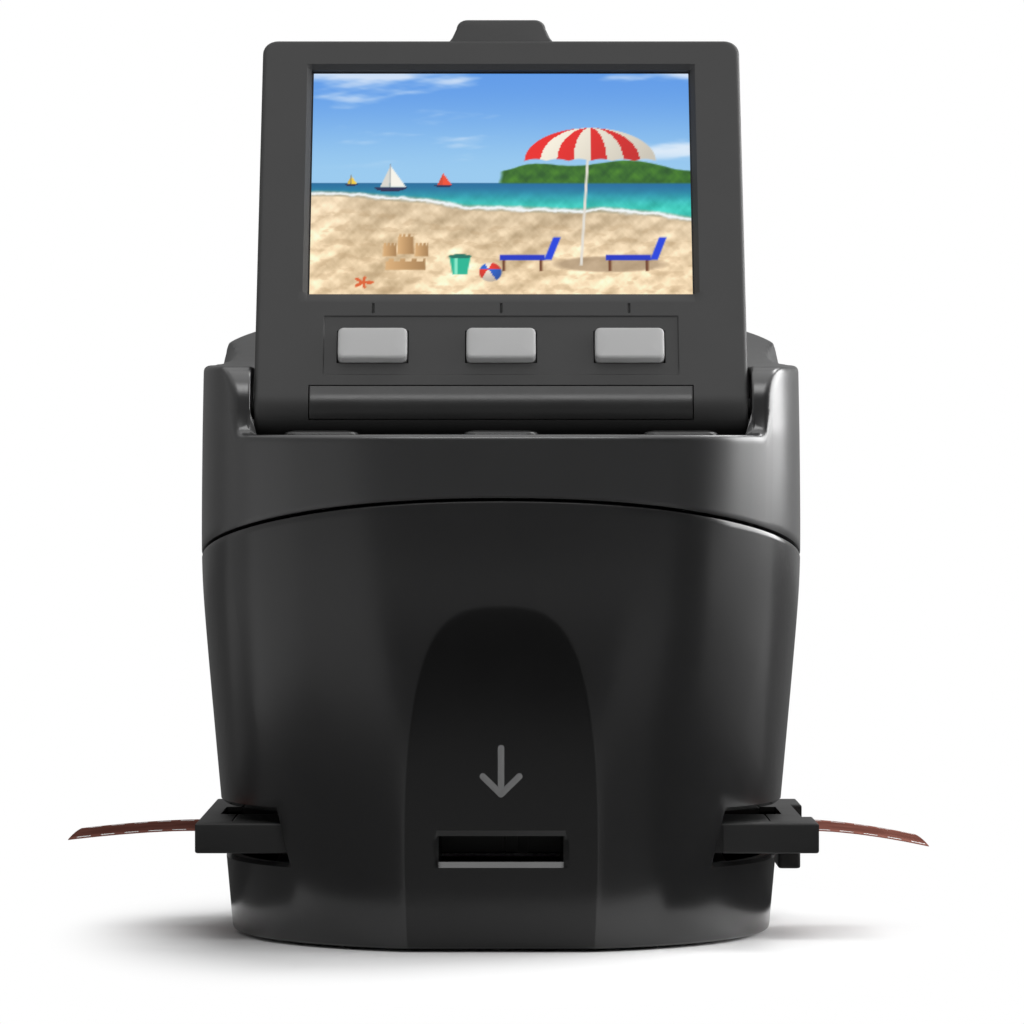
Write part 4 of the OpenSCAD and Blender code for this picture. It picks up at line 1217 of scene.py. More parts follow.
@dataclass
class Picture:
    """Made-up seaside view for the display: sky, dunes, sea, sand, boats and a parasol.

    It is drawn as one array of colours, rows x cols x 3 on the screen's 0 to 1 scale, over
    u across (0 to 1.44) and v up (0 to 1). Every thing in it is a colour laid where a
    distance is negative.
    """

    cols: int = 300
    rows: int = 208
    boats: tuple[tuple[float, float, float, Colour], ...] = (
        (0.30, 0.470, 0.10, (0.98, 0.97, 0.93)), (0.50, 0.485, 0.055, (0.95, 0.30, 0.16)),
        (0.15, 0.490, 0.040, (0.97, 0.82, 0.25)),
    )
    towers: tuple[tuple[float, float, float, float], ...] = (
        (0.36, 0.135, 0.15, 0.05), (0.30, 0.20, 0.05, 0.06), (0.42, 0.20, 0.05, 0.06),
        (0.36, 0.225, 0.06, 0.09),
    )

    def __post_init__(self) -> None:
        """Starts with a black sheet."""
        self.v, self.u = np.meshgrid(np.linspace(0, 1, self.rows),
                                     np.linspace(0, 1.44, self.cols), indexing="ij")
        self.art = np.zeros((self.rows, self.cols, 3))

    def _lay(self, colour: Colour | Array, share: Array) -> None:
        """Lays a colour, or one for each point, over the picture where share is 1."""
        self.art = self.art + (np.asarray(colour) - self.art) * np.clip(share, 0, 1)[..., None]

    def _draw(self, colour: Colour | Array, distance: Array, soft: float = 0.005) -> None:
        """Lays a colour where distance is negative, fading out over soft."""
        self._lay(colour, inside(distance, soft))

    @staticmethod
    def _waves(u: Array, v: Array, seed: int, octaves: int, scale: float) -> Array:
        """Cloudy noise: sines of random direction and phase, each finer and weaker.

        Args:
            u: Place across.
            v: Place up.
            seed: Seed of the random draws.
            octaves: How often the size doubles, nearly.
            scale: Waves in the coarsest sine.

        Returns:
            The noise, about zero.
        """
        draw = np.random.default_rng(seed)
        total = np.zeros_like(u)
        for k in range(octaves * 5):
            size = scale * 1.9 ** (k / 5)
            turn, phase = draw.uniform(0, 2 * math.pi, 2)
            total += np.sin(size * (u * math.cos(turn) + v * math.sin(turn)) + phase) / size
        return total * scale / 2.2

    def colours(self) -> Array:
        """Draws the picture from back to front and returns its colours.

        Returns:
            Rows x columns x 3, from 0 to 1.
        """
        self._view()
        self._boats()
        self._parasol()
        self._toys()
        return np.clip(self.art, 0, 1)

    def _view(self) -> None:
        """Sky with clouds, sea that pales to the shore, wooded dunes, foam and sand."""
        u, v = self.u, self.v
        broad, fine = self._waves(u, v, 5, 6, 9.0), self._waves(u, v, 8, 5, 60.0)
        cloud = smooth_step((self._waves(u * 0.6, v * 2.4, 3, 6, 6.0) - 0.35) / 0.9)
        self._lay((0.60, 0.80, 0.95), np.ones_like(u))
        self._lay((0.36, 0.61, 0.92), smooth_step((v - 0.52) / 0.48))
        self._lay((0.97, 0.98, 1.0), 0.75 * cloud * smooth_step((v - 0.55) / 0.1))
        depth = smooth_step((0.50 - v) / 0.12)[..., None]
        far, near = np.array([0.02, 0.42, 0.62]), np.array([0.20, 0.80, 0.74])
        self._lay(far + (near - far) * depth + 0.05 * fine[..., None] * depth,
                  (v < 0.50).astype(float))
        hills = (0.545 + 0.055 * np.exp(-(((u - 1.18) / 0.22) ** 2))
                 + 0.03 * np.exp(-(((u - 0.86) / 0.12) ** 2)) + 0.006 * broad)
        land = inside(v - hills, 0.006) * inside(0.498 - v, 0.004)
        land = land * inside(0.72 - u - 0.02 * broad, 0.02)
        leaf = 0.13 * (0.5 + 0.5 * fine)[..., None] * np.array([0.9, 1.0, 0.2])
        self._lay(np.array([0.13, 0.36, 0.07]) + leaf, land)
        beach = 0.405 - 0.07 * (u - 0.4) + 0.012 * np.sin(7 * u) + 0.006 * broad
        sand = np.array([0.93, 0.83, 0.68]) + 0.07 * (broad + 0.9 * fine)[..., None]
        sand = sand * (0.93 + 0.12 * smooth_step((beach - v) / 0.25))[..., None]
        self._draw((0.66, 0.62, 0.50), v - beach - 0.02, 0.02)
        self._draw(sand, v - beach, 0.01)
        self._lay((0.97, 0.99, 1.0), np.exp(-(((v - beach - 0.012 - 0.004 * fine) / 0.008) ** 2)))
        ripple = self._waves(u, v * 2.3, 12, 4, 40.0)
        hollow = smooth_step((ripple - 0.1) / 0.9) * inside(v - beach + 0.05, 0.04)
        self._lay((0.74, 0.62, 0.46), 0.35 * hollow)

    def _boats(self) -> None:
        """Sailing boats: two triangles of sail over a hull that is half an ellipse."""
        for x, y, size, sail in self.boats:
            a, b = (self.u - x) / size, (self.v - y) / size
            self._draw(sail, np.maximum.reduce([0.12 - b, a + 0.62 * b - 0.66, -a - 0.02]), 0.03)
            self._draw(tuple(0.88 * c for c in sail),
                       np.maximum.reduce([0.12 - b, 0.40 * b - a - 0.44, a + 0.05]), 0.03)
            self._draw((0.10, 0.13, 0.30), np.maximum(b - 0.1, disc(a, b - 0.1, 0.62, 0.2)), 0.05)
            self._draw((0.35, 0.25, 0.18), box(a + 0.03, b - 0.6, 0.012, 0.55), 0.02)

    def _parasol(self) -> None:
        """Striped parasol with its shade and its pole, and two loungers."""
        u, v = self.u, self.v
        self._lay((0.62, 0.52, 0.40), 0.7 * inside(disc(u - 1.13, v - 0.135, 0.21, 0.035), 0.5))
        lean = u - 1.05 - 0.06 * (v - 0.6)
        self._draw((0.90, 0.88, 0.84), box(lean, v - 0.40, 0.005, 0.27), 0.004)
        a, b = (u - 1.06) / 0.25, (v - 0.60) / 0.15
        dome = np.maximum(disc(a, b, 1, 1), 0.06 * np.abs(np.sin(9.4 * a)) - b)
        stripe = np.sin(math.pi * 4 * a / np.sqrt(np.maximum(1.02 - b * b, 0.02))) > 0
        shade = 0.82 + 0.18 * np.clip(0.5 - 0.6 * a + 0.3 * b, 0, 1)
        cloth = np.where(stripe[..., None], (0.93, 0.13, 0.10), (0.98, 0.95, 0.88))
        self._draw(cloth * shade[..., None], dome, 0.03)
        for x in (0.80, 1.20):
            out, up = u - x, v - 0.165
            self._draw((0.45, 0.25, 0.12), box(np.abs(out) - 0.07, v - 0.135, 0.006, 0.03), 0.004)
            self._draw((0.03, 0.18, 0.78), box(out, up, 0.085, 0.012))
            self._draw((0.05, 0.24, 0.88), box(out - 0.10 - 0.35 * up, up - 0.04, 0.014, 0.05))

    def _toys(self) -> None:
        """Sandcastle, a bucket, a ball of coloured wedges and a starfish."""
        u, v = self.u, self.v
        for x, y, w, h in self.towers:
            tower = np.maximum(np.abs(u - x) - w / 2 - 0.04 * (y - v), np.abs(v - y) - h / 2)
            tower = np.maximum(tower, v - y - h / 2 + (np.sin((u - x) / w * 22) > 0) * 0.012)
            lit = np.clip(0.5 + (x - u) / w, 0, 1)[..., None]
            self._draw(np.array([0.66, 0.50, 0.31]) + np.array([0.22, 0.20, 0.17]) * lit, tower)
        pail = np.maximum(np.abs(u - 0.565) - 0.034 - 0.16 * (v - 0.13), np.abs(v - 0.13) - 0.04)
        self._draw((0.08, 0.72, 0.58), pail)
        self._draw((0.55, 0.93, 0.80), np.maximum(pail, np.abs(u - 0.55) - 0.006))
        self._draw((0.04, 0.45, 0.38), disc(u - 0.565, v - 0.17, 0.043, 0.010), 0.3)
        wedge = np.floor(np.arctan2(v - 0.115, u - 0.672) / (math.pi / 3)) % 3
        tones = np.array([[0.95, 0.20, 0.12], [0.98, 0.92, 0.85], [0.10, 0.40, 0.85]])
        ball = tones[wedge.astype(int)] * (1.05 - 5 * np.hypot(u - 0.67, v - 0.12))[..., None]
        self._draw(ball, np.hypot(u - 0.68, v - 0.10) - 0.042)
        turn = np.arctan2(v - 0.055, u - 0.20)
        star = np.hypot(u - 0.20, (v - 0.055) * 1.5) - 0.022 * (1.2 + 0.7 * np.cos(5 * turn))
        self._draw((0.88, 0.38, 0.16), star, 0.004)

    def material(self) -> bpy.types.Material:
        """Lit panel: the piece's own colours glow behind a dark, glossy face.

        Returns:
            The material.
        """
        made, tree, shader = new_material("display_picture")
        fill(shader, {
            "Base Color": (0.012, 0.012, 0.014, 1), "Roughness": 0.18,
            "Specular IOR Level": 0.2, "Emission Strength": 0.94,
            "Emission Color": add(tree, "Attribute", {}, "Color", attribute_name="picture"),
        })
        return made


@dataclass
class Screen:
    """Hinged screen unit: a bezel with its barrel, a back, a display, keys and trim."""

    lean: Lean = field(default_factory=Lean)
    half_w: float = 47.9
    length: float = 83.0
    face: float = -6.0
    split: float = 0.5
    back: float = 5.5
    barrel_r: float = 6.0
    corner: float = 3.0
    edge: float = 0.9
    rim_lines: tuple[float, ...] = (0, 0.04, 0.14, 0.3, 0.5, 0.7, 0.9, 1.3, 2.2, 3.0)
    picture_half_w: float = 37.6
    picture_low: float = 23.5
    picture_high: float = 75.8
    bevel: Point = (1.3, 2.4, 1.3)
    bevel_deep: float = 0.9
    picture_margin: float = 0.35
    picture_deep: float = 1.7
    picture_step: float = 0.04
    panel: Point = (34.65, 4.2, 17.7)
    panel_deep: float = 0.22
    panel_step: float = 0.25
    key_half_w: float = 6.75
    key_low: float = 7.2
    key_high: float = 14.1
    key_proud: float = 1.85
    key_pitch: float = 25.0
    key_fit: float = 0.25
    key_deep: float = 3.6
    key_step: float = 0.12
    tick_half: float = 0.3
    tick_low: float = 18.5
    tick_high: float = 20.6
    tick_deep: float = 0.35
    tick_step: float = 0.25
    cover_half_w: float = 37.35
    cover_top: float = 1.9
    cover_low: float = 4.76
    cover_t: float = 1.1
    cover_step: float = 0.08
    cover_fit: float = 0.16
    tab: Point = (10.6, 9.0, 5.4)

    @property
    def cover_arc(self) -> float:
        """Arc length from the hinge line down to the lower edge of the cover."""
        return self.barrel_r * math.asin(self.cover_low / self.barrel_r)

    def _skin(self, x: Array, along: Array, sink: Array | float) -> Array:
        """Points of the bezel's skin, pushed in along its normal.

        Positive values of along are heights up the face; negative ones run round the
        barrel, a circle about the hinge line, by arc length.

        Args:
            x: Place across.
            along: Place up the face, or down round the barrel.
            sink: How far the point lies below the skin.

        Returns:
            The points.
        """
        turn = np.maximum(0.0, -along) / self.barrel_r
        up = along >= 0
        depth = np.where(up, self.face + sink, (sink - self.barrel_r) * np.cos(turn))
        height = np.where(up, along, (sink - self.barrel_r) * np.sin(turn))
        return self.lean.place(x, depth, height)

    def _round_corner(self, x: Array, z: Array) -> tuple[Array, Array]:
        """Rounds the two top corners: each corner square is mapped onto a quarter disc.

        Args:
            x: X of the points.
            z: Length up the screen.

        Returns:
            Both, moved.
        """
        r = self.corner
        u = np.clip((np.abs(x) - self.half_w + r) / r, 0, 1)
        v = np.clip((z - self.length + r) / r, 0, 1)
        both = (u > 0) & (v > 0)
        ux = np.where(both, u * np.sqrt(1 - v * v / 2), u)
        vz = np.where(both, v * np.sqrt(1 - u * u / 2), v)
        x_new = np.where(u > 0, np.sign(x) * (self.half_w - r + r * ux), x)
        return x_new, np.where(v > 0, self.length - r + r * vz, z)

    def _from_edge(self, x: Array, z: Array) -> Array:
        """Distance in from the outline of the face, whose top corners are round."""
        r = self.corner
        dx, dz = np.abs(x) - self.half_w + r, z - self.length + r
        outside = np.hypot(np.maximum(dx, 0), np.maximum(dz, 0))
        return r - outside - np.minimum(np.maximum(dx, dz), 0)

    def _sink(self, x: Array, z: Array) -> Array:
        """Depth of the face's skin below its plane: edge round, bevel, panel and grooves.

        Args:
            x: Place across.
            z: Place up the face, or down round the barrel.

        Returns:
            The depths.
        """
        side, low, top = self.bevel
        margin, fit = self.picture_margin, self.key_fit
        left = self.picture_half_w - np.abs(x)
        under, over = z - self.picture_low, self.picture_high - z
        sink = edge_sink(self._from_edge(x, z), self.edge)
        sink = sink + self.bevel_deep * share_in(
            1.0, (left + side) / (side - margin), (under + low) / (low - margin),
            (over + top) / (top - margin))
        sink = sink + (self.picture_deep - self.bevel_deep) * share_in(
            self.picture_step, left + margin, under + margin, over + margin)
        half, p_low, p_high = self.panel
        sink = sink + self.panel_deep * share_in(
            self.panel_step, half - np.abs(x), z - p_low, p_high - z)
        for k in THREE:
            off = np.abs(x - k * self.key_pitch)
            sink = sink + (self.key_deep - self.panel_deep) * share_in(
                self.key_step, self.key_half_w + fit - off, z - self.key_low + fit,
                self.key_high + fit - z)
            sink = sink + self.tick_deep * share_in(
                self.tick_step, self.tick_half - off, z - self.tick_low + self.tick_half,
                self.tick_high - z)
        return sink + self.cover_t * share_in(
            self.cover_step, self.cover_half_w - np.abs(x), self.cover_top - z,
            z + self.cover_arc)

    def _lines(self) -> tuple[Array, Array]:
        """Grid lines with one on every edge and step of the bezel.

        Returns:
            Lines across and lines along it.
        """
        side, low, top = self.bevel
        half, p_low, p_high = self.panel
        rim, step = np.array(self.rim_lines), self.tick_step
        frame = self.picture_half_w + self.picture_margin
        hole = self.key_half_w + self.key_fit
        keys = [abs(k * self.key_pitch + s * reach) for k in (0, 1) for s in (-1, 1)
                for reach in (hole, hole - self.key_step, self.tick_half, self.tick_half - step)]
        x = lines(self.half_w - rim, spread(0, 44, step=4), keys,
                  [frame, frame - self.picture_step, self.picture_half_w + side],
                  [half, half - self.panel_step], [self.cover_half_w],
                  [self.cover_half_w - self.cover_step])
        arc = self.cover_arc
        z = [-spread(0.0, arc - self.cover_step, arc, 1.5 * math.pi * self.barrel_r, step=0.6)]
        for low_end, high_end, run in (
            (self.picture_low - self.picture_margin, self.picture_high + self.picture_margin,
             self.picture_step),
            (p_low, p_high, self.panel_step),
            (self.key_low - self.key_fit, self.key_high + self.key_fit, self.key_step),
            (self.tick_low - self.tick_half, self.tick_high, step),
        ):
            z.append([low_end, low_end + run, high_end - run, high_end])
        z = lines(self.length - rim, spread(0, 78, step=4), *z,
                  [self.picture_low - low, self.picture_high + top],
                  [self.cover_top, self.cover_top - self.cover_step])
        return mirrored(x), z

    def bezel(self) -> None:
        """Front moulding: face, round edges, display frame, key panel and hinge barrel.

        The skin is the side profile carried across, pushed in along its normal by the
        sink of each point; closed sides and a flat rear complete it.
        """
        x, along = np.meshgrid(*self._lines())
        x_new, z_new = self._round_corner(x, along)
        near = self.corner + 0.1
        at_rim = (np.abs(x) > self.half_w - near) | (along > self.length - near)
        sink = np.where(at_rim, self._sink(x_new, z_new), self._sink(x, along))
        skin = self._skin(x_new, z_new, sink)
        flat_rear = np.where(along >= self.barrel_r, self.split, 0.0) - self.face
        rear = self._skin(x_new, z_new, np.where(along >= 0, flat_rear, self.barrel_r))
        made = Surface().grid(skin)
        for edge in (np.s_[:, 0], np.s_[:, -1], np.s_[-1], np.s_[0]):
            made.grid(np.stack([skin[edge], rear[edge]]))
        made.grid(rear)
        made.piece("screen_bezel_moulding", "screen", BEZEL, "bezel_grey",
                   ("screen_bezel",), sharp=30)

    def _flat(self, set_in: float, more: float = 0.0) -> Array:
        """Outline of the rear moulding with round corners, set in by both distances."""
        low, in_all = self.barrel_r + 1.4, set_in + more
        shape = rounded_box(2 * (self.half_w - in_all), self.length - low - 2 * in_all,
                            self.corner - in_all * 0.6, 8)
        return shape + np.array([0.0, (self.length + low) / 2])

    def rear(self) -> None:
        """Back moulding: a rounded plate that closes the screen unit behind the split."""
        made = Surface().block(self._flat, self.split + 0.3, self.back, self.lean.upright,
                               edge=1.6, low_edge=0.15, steps=6)
        made.block(lambda set_in: self._flat(set_in, 0.5), self.split, self.split + 0.6,
                   self.lean.upright, 0.05)
        made.piece("screen_rear_moulding", "screen", SCREEN_BACK, "bezel_black",
                   ("screen_back",), sharp=30)

    def _tab_outline(self, set_in: float) -> Array:
        """Tapered tab: flared feet, straight flanks and a quarter circle each side.

        Args:
            set_in: Distance in from the outline.

        Returns:
            Points of the outline.
        """
        low_half, high_half, high = self.tab
        r, t = 2.2, np.linspace(0, QUARTER_TURN, 9)
        shoulder = stack(high_half - r + (r - set_in) * np.cos(t),
                         self.length + high - r + (r - set_in) * np.sin(t))
        foot = np.array([low_half - set_in, self.length]) + np.array(
            [[0, -2.0], [0, -0.1], [-0.7, 0.9]])
        right = np.concatenate([foot, shoulder])
        return np.concatenate([right, right[::-1] * np.array([-1.0, 1.0])])

    def finger_tab(self) -> None:
        """Tab on top of the screen: a tapered tongue with round shoulders."""
        made = Surface().block(self._tab_outline, self.face + 0.35, self.face + 3.0,
                               self.lean.upright, edge=0.5, low_edge=0.8)
        made.piece("screen_finger_tab", "screen", BEZEL, "bezel_grey", sharp=30)

    def trim(self) -> None:
        """Hinge cover: a strip let into the face and barrel with a hairline gap round it."""
        half = self.cover_half_w - self.cover_fit
        low, high = self.cover_fit - self.cover_arc, self.cover_top - self.cover_fit
        rim = np.array([0.0, 0.03, 0.1, 0.25])
        x = mirrored(np.unique(np.concatenate([half - rim, spread(0, half - 0.3, step=5)])))
        z = np.unique(np.concatenate([
            high - rim, low + rim, spread(low + 0.3, 0.0, high - 0.3, step=0.35)]))
        across, along = np.meshgrid(x, z)
        close = np.minimum.reduce([half - np.abs(across), high - along, along - low])
        made = Surface().sandwich(
            self._skin(across, along, 0.02 + edge_sink(close, 0.25)),
            self._skin(across, along, 0.95), np.ones((len(z) - 1, len(x) - 1), bool))
        made.piece("hinge_cover_strip", "screen", HINGE_SATIN, "bezel_grey",
                   ("hinge_cover",), sharp=30)

    def soft_keys(self) -> None:
        """Three pale keys: slightly crowned blocks with round corners and edges."""
        names = ("left_soft_key", "centre_soft_key", "right_soft_key")
        for k, name in zip(THREE, names):
            centre = np.array([k * self.key_pitch, (self.key_low + self.key_high) / 2])
            self._crowned_key(centre).piece(
                f"{name}_cap", name, SOFT_KEY, "soft_key_grey", (name,), sharp=40)

    def _crowned_key(self, centre: Array) -> Surface:
        """Key cap: rings set in along a quarter circle, then over a low crown.

        Args:
            centre: Middle of the key on the face.

        Returns:
            The cap.
        """
        r, crown, front = 0.55, 0.12, self.face + self.panel_deep - self.key_proud
        half_w, half_h = self.key_half_w, (self.key_high - self.key_low) / 2
        plan = [(0.0, self.face + 2.6), (0.0, front + r)]
        plan += [(r * (1 - math.cos(a)), front + r * (1 - math.sin(a)))
                 for a in np.linspace(0, QUARTER_TURN, 6)[1:]]
        plan += [(r + s * (half_h - r), front - crown * (1 - (1 - s) ** 2))
                 for s in (0.15, 0.35, 0.6, 0.85)]
        rings = []
        for inset, depth in plan:
            ring = centre + rounded_box(2 * (half_w - inset), 2 * (half_h - inset),
                                        max(1.1 - inset * 0.5, 0.15), 6)
            rings.append(self.lean.upright(ring, np.full(len(ring), depth)))
        return Surface().loft(rings)

    def display(self) -> None:
        """Lit panel behind the bezel's frame, with the picture in its vertex colours."""
        art = Picture()
        half, beyond = self.picture_half_w, np.array([self.picture_margin + 0.3, 0.01])
        x = np.concatenate([-half - beyond, np.linspace(-half, half, art.cols),
                            half + beyond[::-1]])
        z = np.concatenate([self.picture_low - beyond,
                            np.linspace(self.picture_low, self.picture_high, art.rows),
                            self.picture_high + beyond[::-1]])
        xs, zs = np.meshgrid(x, z)
        points = self.lean.place(xs, np.full_like(xs, self.face + self.picture_deep - 0.06), zs)
        mesh = bpy.data.meshes.new("display_picture")
        cells = Surface.cells(len(z), len(x)).reshape(-1, 4)
        mesh.from_pydata((points.reshape(-1, 3) * MM).tolist(), [], cells.tolist())
        shown = np.pad(art.colours(), ((2, 2), (2, 2), (0, 0))).reshape(-1, 3)
        tones = np.column_stack([linear(shown), np.ones(len(shown))]).astype(np.float32)
        kept = mesh.attributes.new("picture", "FLOAT_COLOR", "POINT")
        kept.data.foreach_set("color", tones.reshape(-1))
        mesh.materials.append(art.material())
        enter(mesh, "screen", ("display_panel", "screen_window"))

    def build(self) -> None:
        """Builds every piece of the screen unit."""
        self.bezel()
        self.rear()
        self.finger_tab()
        self.trim()
        self.soft_keys()
        self.display()


# ---- Deck, keys and small parts of the casing ----


@dataclass
class Deck:
    """Tray under the folded screen, with a key deck in front and its three keys."""

    casing: Casing
    half_w: float = 48.3
    top: float = 99.4
    step_y: float = -45.0
    lip_gap: float = 0.15
    key_half_l: float = 7.2
    key_half_w: float = 2.5
    key_fit: float = 0.25
    key_top: float = 100.2
    key_low: float = 95.4
    hole_round: tuple[Pair, ...] = ((0.25, 0), (0.07, 0.07), (0, 0.25), (0, 2.0))
    patch_half: float = 8.6
    trough: tuple[Pair, ...] = (
        (-44.75, 97.7), (-33.2, 97.7), (-31.4, 98.8), (44.95, 108.17), (44.95, 106.1),
        (-31.4, 96.7),
    )
    keys: tuple[tuple[str, float, float], ...] = (
        ("home_key", -34.6, -49.5), ("scan_key", 0.0, -51.5), ("power_key", 34.6, -49.5),
    )

    def _front(self, x: Array | float) -> Array:
        """Front edge of the deck, a hairline behind the casing's wall."""
        return self.casing.lip_edge(x) + self.lip_gap

    @staticmethod
    def _stadium_reach(turn: Array, half_l: float, r: float) -> Array:
        """Distance from a stadium's centre to its outline in each direction.

        Args:
            turn: Directions.
            half_l: Half its length.
            r: Radius of its ends.

        Returns:
            The distances.
        """
        c, s = np.abs(np.cos(turn)), np.abs(np.sin(turn))
        straight, flat = half_l - r, r / np.maximum(s, 1e-9)
        bow = c * straight + np.sqrt(np.maximum((c * straight) ** 2 - straight**2 + r * r, 0))
        return np.where(flat * c <= straight, flat, bow)

    def _patch(self, cx: float, cy: float) -> Array:
        """Deck round one key: rays from the key's hole out to the patch's edge.

        Args:
            cx: X of the key.
            cy: Y of the key.

        Returns:
            Rings of points, from the patch's outline down the hole.
        """
        half = self.patch_half
        corners = [math.atan2(y - cy, s * half) for s in (1, -1)
                   for y in (self._front(cx + s * half), self.step_y)]
        turn = np.unique(np.concatenate([np.linspace(-math.pi, math.pi, 97)[:-1], corners]))
        c, s = np.cos(turn), np.sin(turn)
        reach = np.where(s > 0, (self.step_y - cy) / np.maximum(s, 1e-9), 1e3)
        reach = np.minimum(reach, half / np.maximum(np.abs(c), 1e-9))
        front = np.full_like(turn, 5.0)
        for _ in range(40):
            x = cx + np.clip(front * c, -half, half)
            front = np.where(s < 0, (self._front(x) - cy) / np.minimum(s, -1e-9), 1e3)
        hole = self._stadium_reach(turn, self.key_half_l + self.key_fit,
                                   self.key_half_w + self.key_fit)
        rings = [(np.minimum(reach, front), 0.0), *((hole + out, z) for out, z in self.hole_round)]
        return np.stack([stack(cx + r * c, cy + r * s, self.top - z) for r, z in rings])

    def tray(self) -> None:
        """Deck with three key holes, the step behind it, the trough and the sloping floor."""
        made = Surface()
        bounds = [-self.half_w]
        for _, cx, cy in self.keys:
            made.grid(self._patch(cx, cy), wrap_cols=True)
            bounds += [cx - self.patch_half, cx + self.patch_half]
        bounds.append(self.half_w)
        for low, high in zip(bounds[::2], bounds[1::2]):
            x = spread(low, high, step=1.6)
            y = np.stack([self._front(x), np.full_like(x, self.step_y)])
            made.grid(stack(x[None, :], y, self.top))
        line = bent(np.array([(self.step_y, self.top), *self.trough]), 0.8)
        x = spread(-self.half_w, self.half_w, step=6)
        made.grid(stack(x[None, :], line[:, :1], line[:, 1:]))
        made.piece("key_deck_and_tray", "casing", TRAY, "tray_black", ("top_tray",),
                   sharp=40, turn_out=False)

    def caps(self) -> None:
        """Three long key caps: stadiums with rounded shoulders and a low crown."""
        r, crown = 0.7, 0.25
        shoulder = self.key_top - crown
        plan = [(0.0, self.key_low), (0.0, shoulder - r)]
        plan += [(r * (1 - math.cos(a)), shoulder - r * (1 - math.sin(a)))
                 for a in np.linspace(0.2, QUARTER_TURN, 5)]
        plan += [(r + t * (self.key_half_w - r), self.key_top - crown * (1 - t) ** 2)
                 for t in (0.2, 0.45, 0.7, 0.9)]
        for name, cx, cy in self.keys:
            rings = []
            for inset, z in plan:
                flat = rounded_box(2 * (self.key_half_l - inset), 2 * (self.key_half_w - inset),
                                   self.key_half_l, 12)
                rings.append(stack(cx + flat[:, 0], cy + flat[:, 1], z))
            Surface().loft(rings).piece(
                f"{name}_cap", name, DECK_KEY, "key_dark", (name,), sharp=45)


@dataclass
class Fittings:
    """Small parts: the printed arrow and the two hinge bushes."""

    casing: Casing
    lean: Lean = field(default_factory=Lean)
    arrow_top: float = 40.1
    arrow_length: float = 10.2
    stroke: float = 1.25
    head: float = 4.1
    sunk: float = 0.2
    proud: float = 0.14
    bush: tuple[Pair, ...] = (
        (51.8, 4.0), (48.6, 4.0), (48.42, 3.9), (48.4, 3.7), (48.4, 2.3), (48.6, 2.06),
        (51.8, 2.06),
    )

    def arrow(self) -> None:
        """Arrow printed on the scoop: three round-ended strokes a hair above the plane."""
        tilt = math.atan2(*self.casing.scoop_run)
        base = np.array([0.0, -self.casing.scoop(self.arrow_top), self.arrow_top])
        across = np.array([1.0, 0.0, 0.0])
        up = np.array([0.0, -math.sin(tilt), math.cos(tilt)])
        out = np.array([0.0, -math.cos(tilt), -math.sin(tilt)])
        r = self.stroke / 2
        tip = np.array([0.0, r - self.arrow_length])
        made = Surface()
        for k, end in enumerate(((0.0, -r), (r - self.head, self.head - self.arrow_length),
                                 (self.head - r, self.head - self.arrow_length))):
            run = np.array(end) - tip
            length = float(np.linalg.norm(run))
            way = run / length
            side = np.array([-way[1], way[0]])

            def outline(set_in: float) -> Array:
                """Round-ended stroke along its own direction."""
                flat = rounded_box(length + 2 * (r - set_in), 2 * (r - set_in), length, 9)
                return tip + run / 2 + flat[:, :1] * way + flat[:, 1:] * side

            def place(flat: Array, height: Array) -> Array:
                """Lays the stroke on the scoop plane."""
                return base + flat[:, :1] * across + flat[:, 1:] * up + height[:, None] * out

            made.block(outline, -self.sunk, self.proud + 0.004 * k, place, edge=0.05, steps=2)
        made.piece("printed_arrow", "casing", ARROW, "arrow_grey", ("arrow_mark",))

    def bushes(self) -> None:
        """Flanged bushes in the ears that the hinge pins turn in."""
        made = Surface()
        t = np.linspace(0, 2 * math.pi, 48, endpoint=False)
        for side in (-1, 1):
            rings = [stack(side * x, self.lean.y + r * np.cos(t), self.lean.z + r * np.sin(t))
                     for x, r in self.bush]
            made.grid(np.stack(rings), wrap_rows=True, wrap_cols=True)
        made.piece("ear_bushes", "casing", NYLON, "bush_white", ("hinge_bushes",))


# ---- Film adapter ----


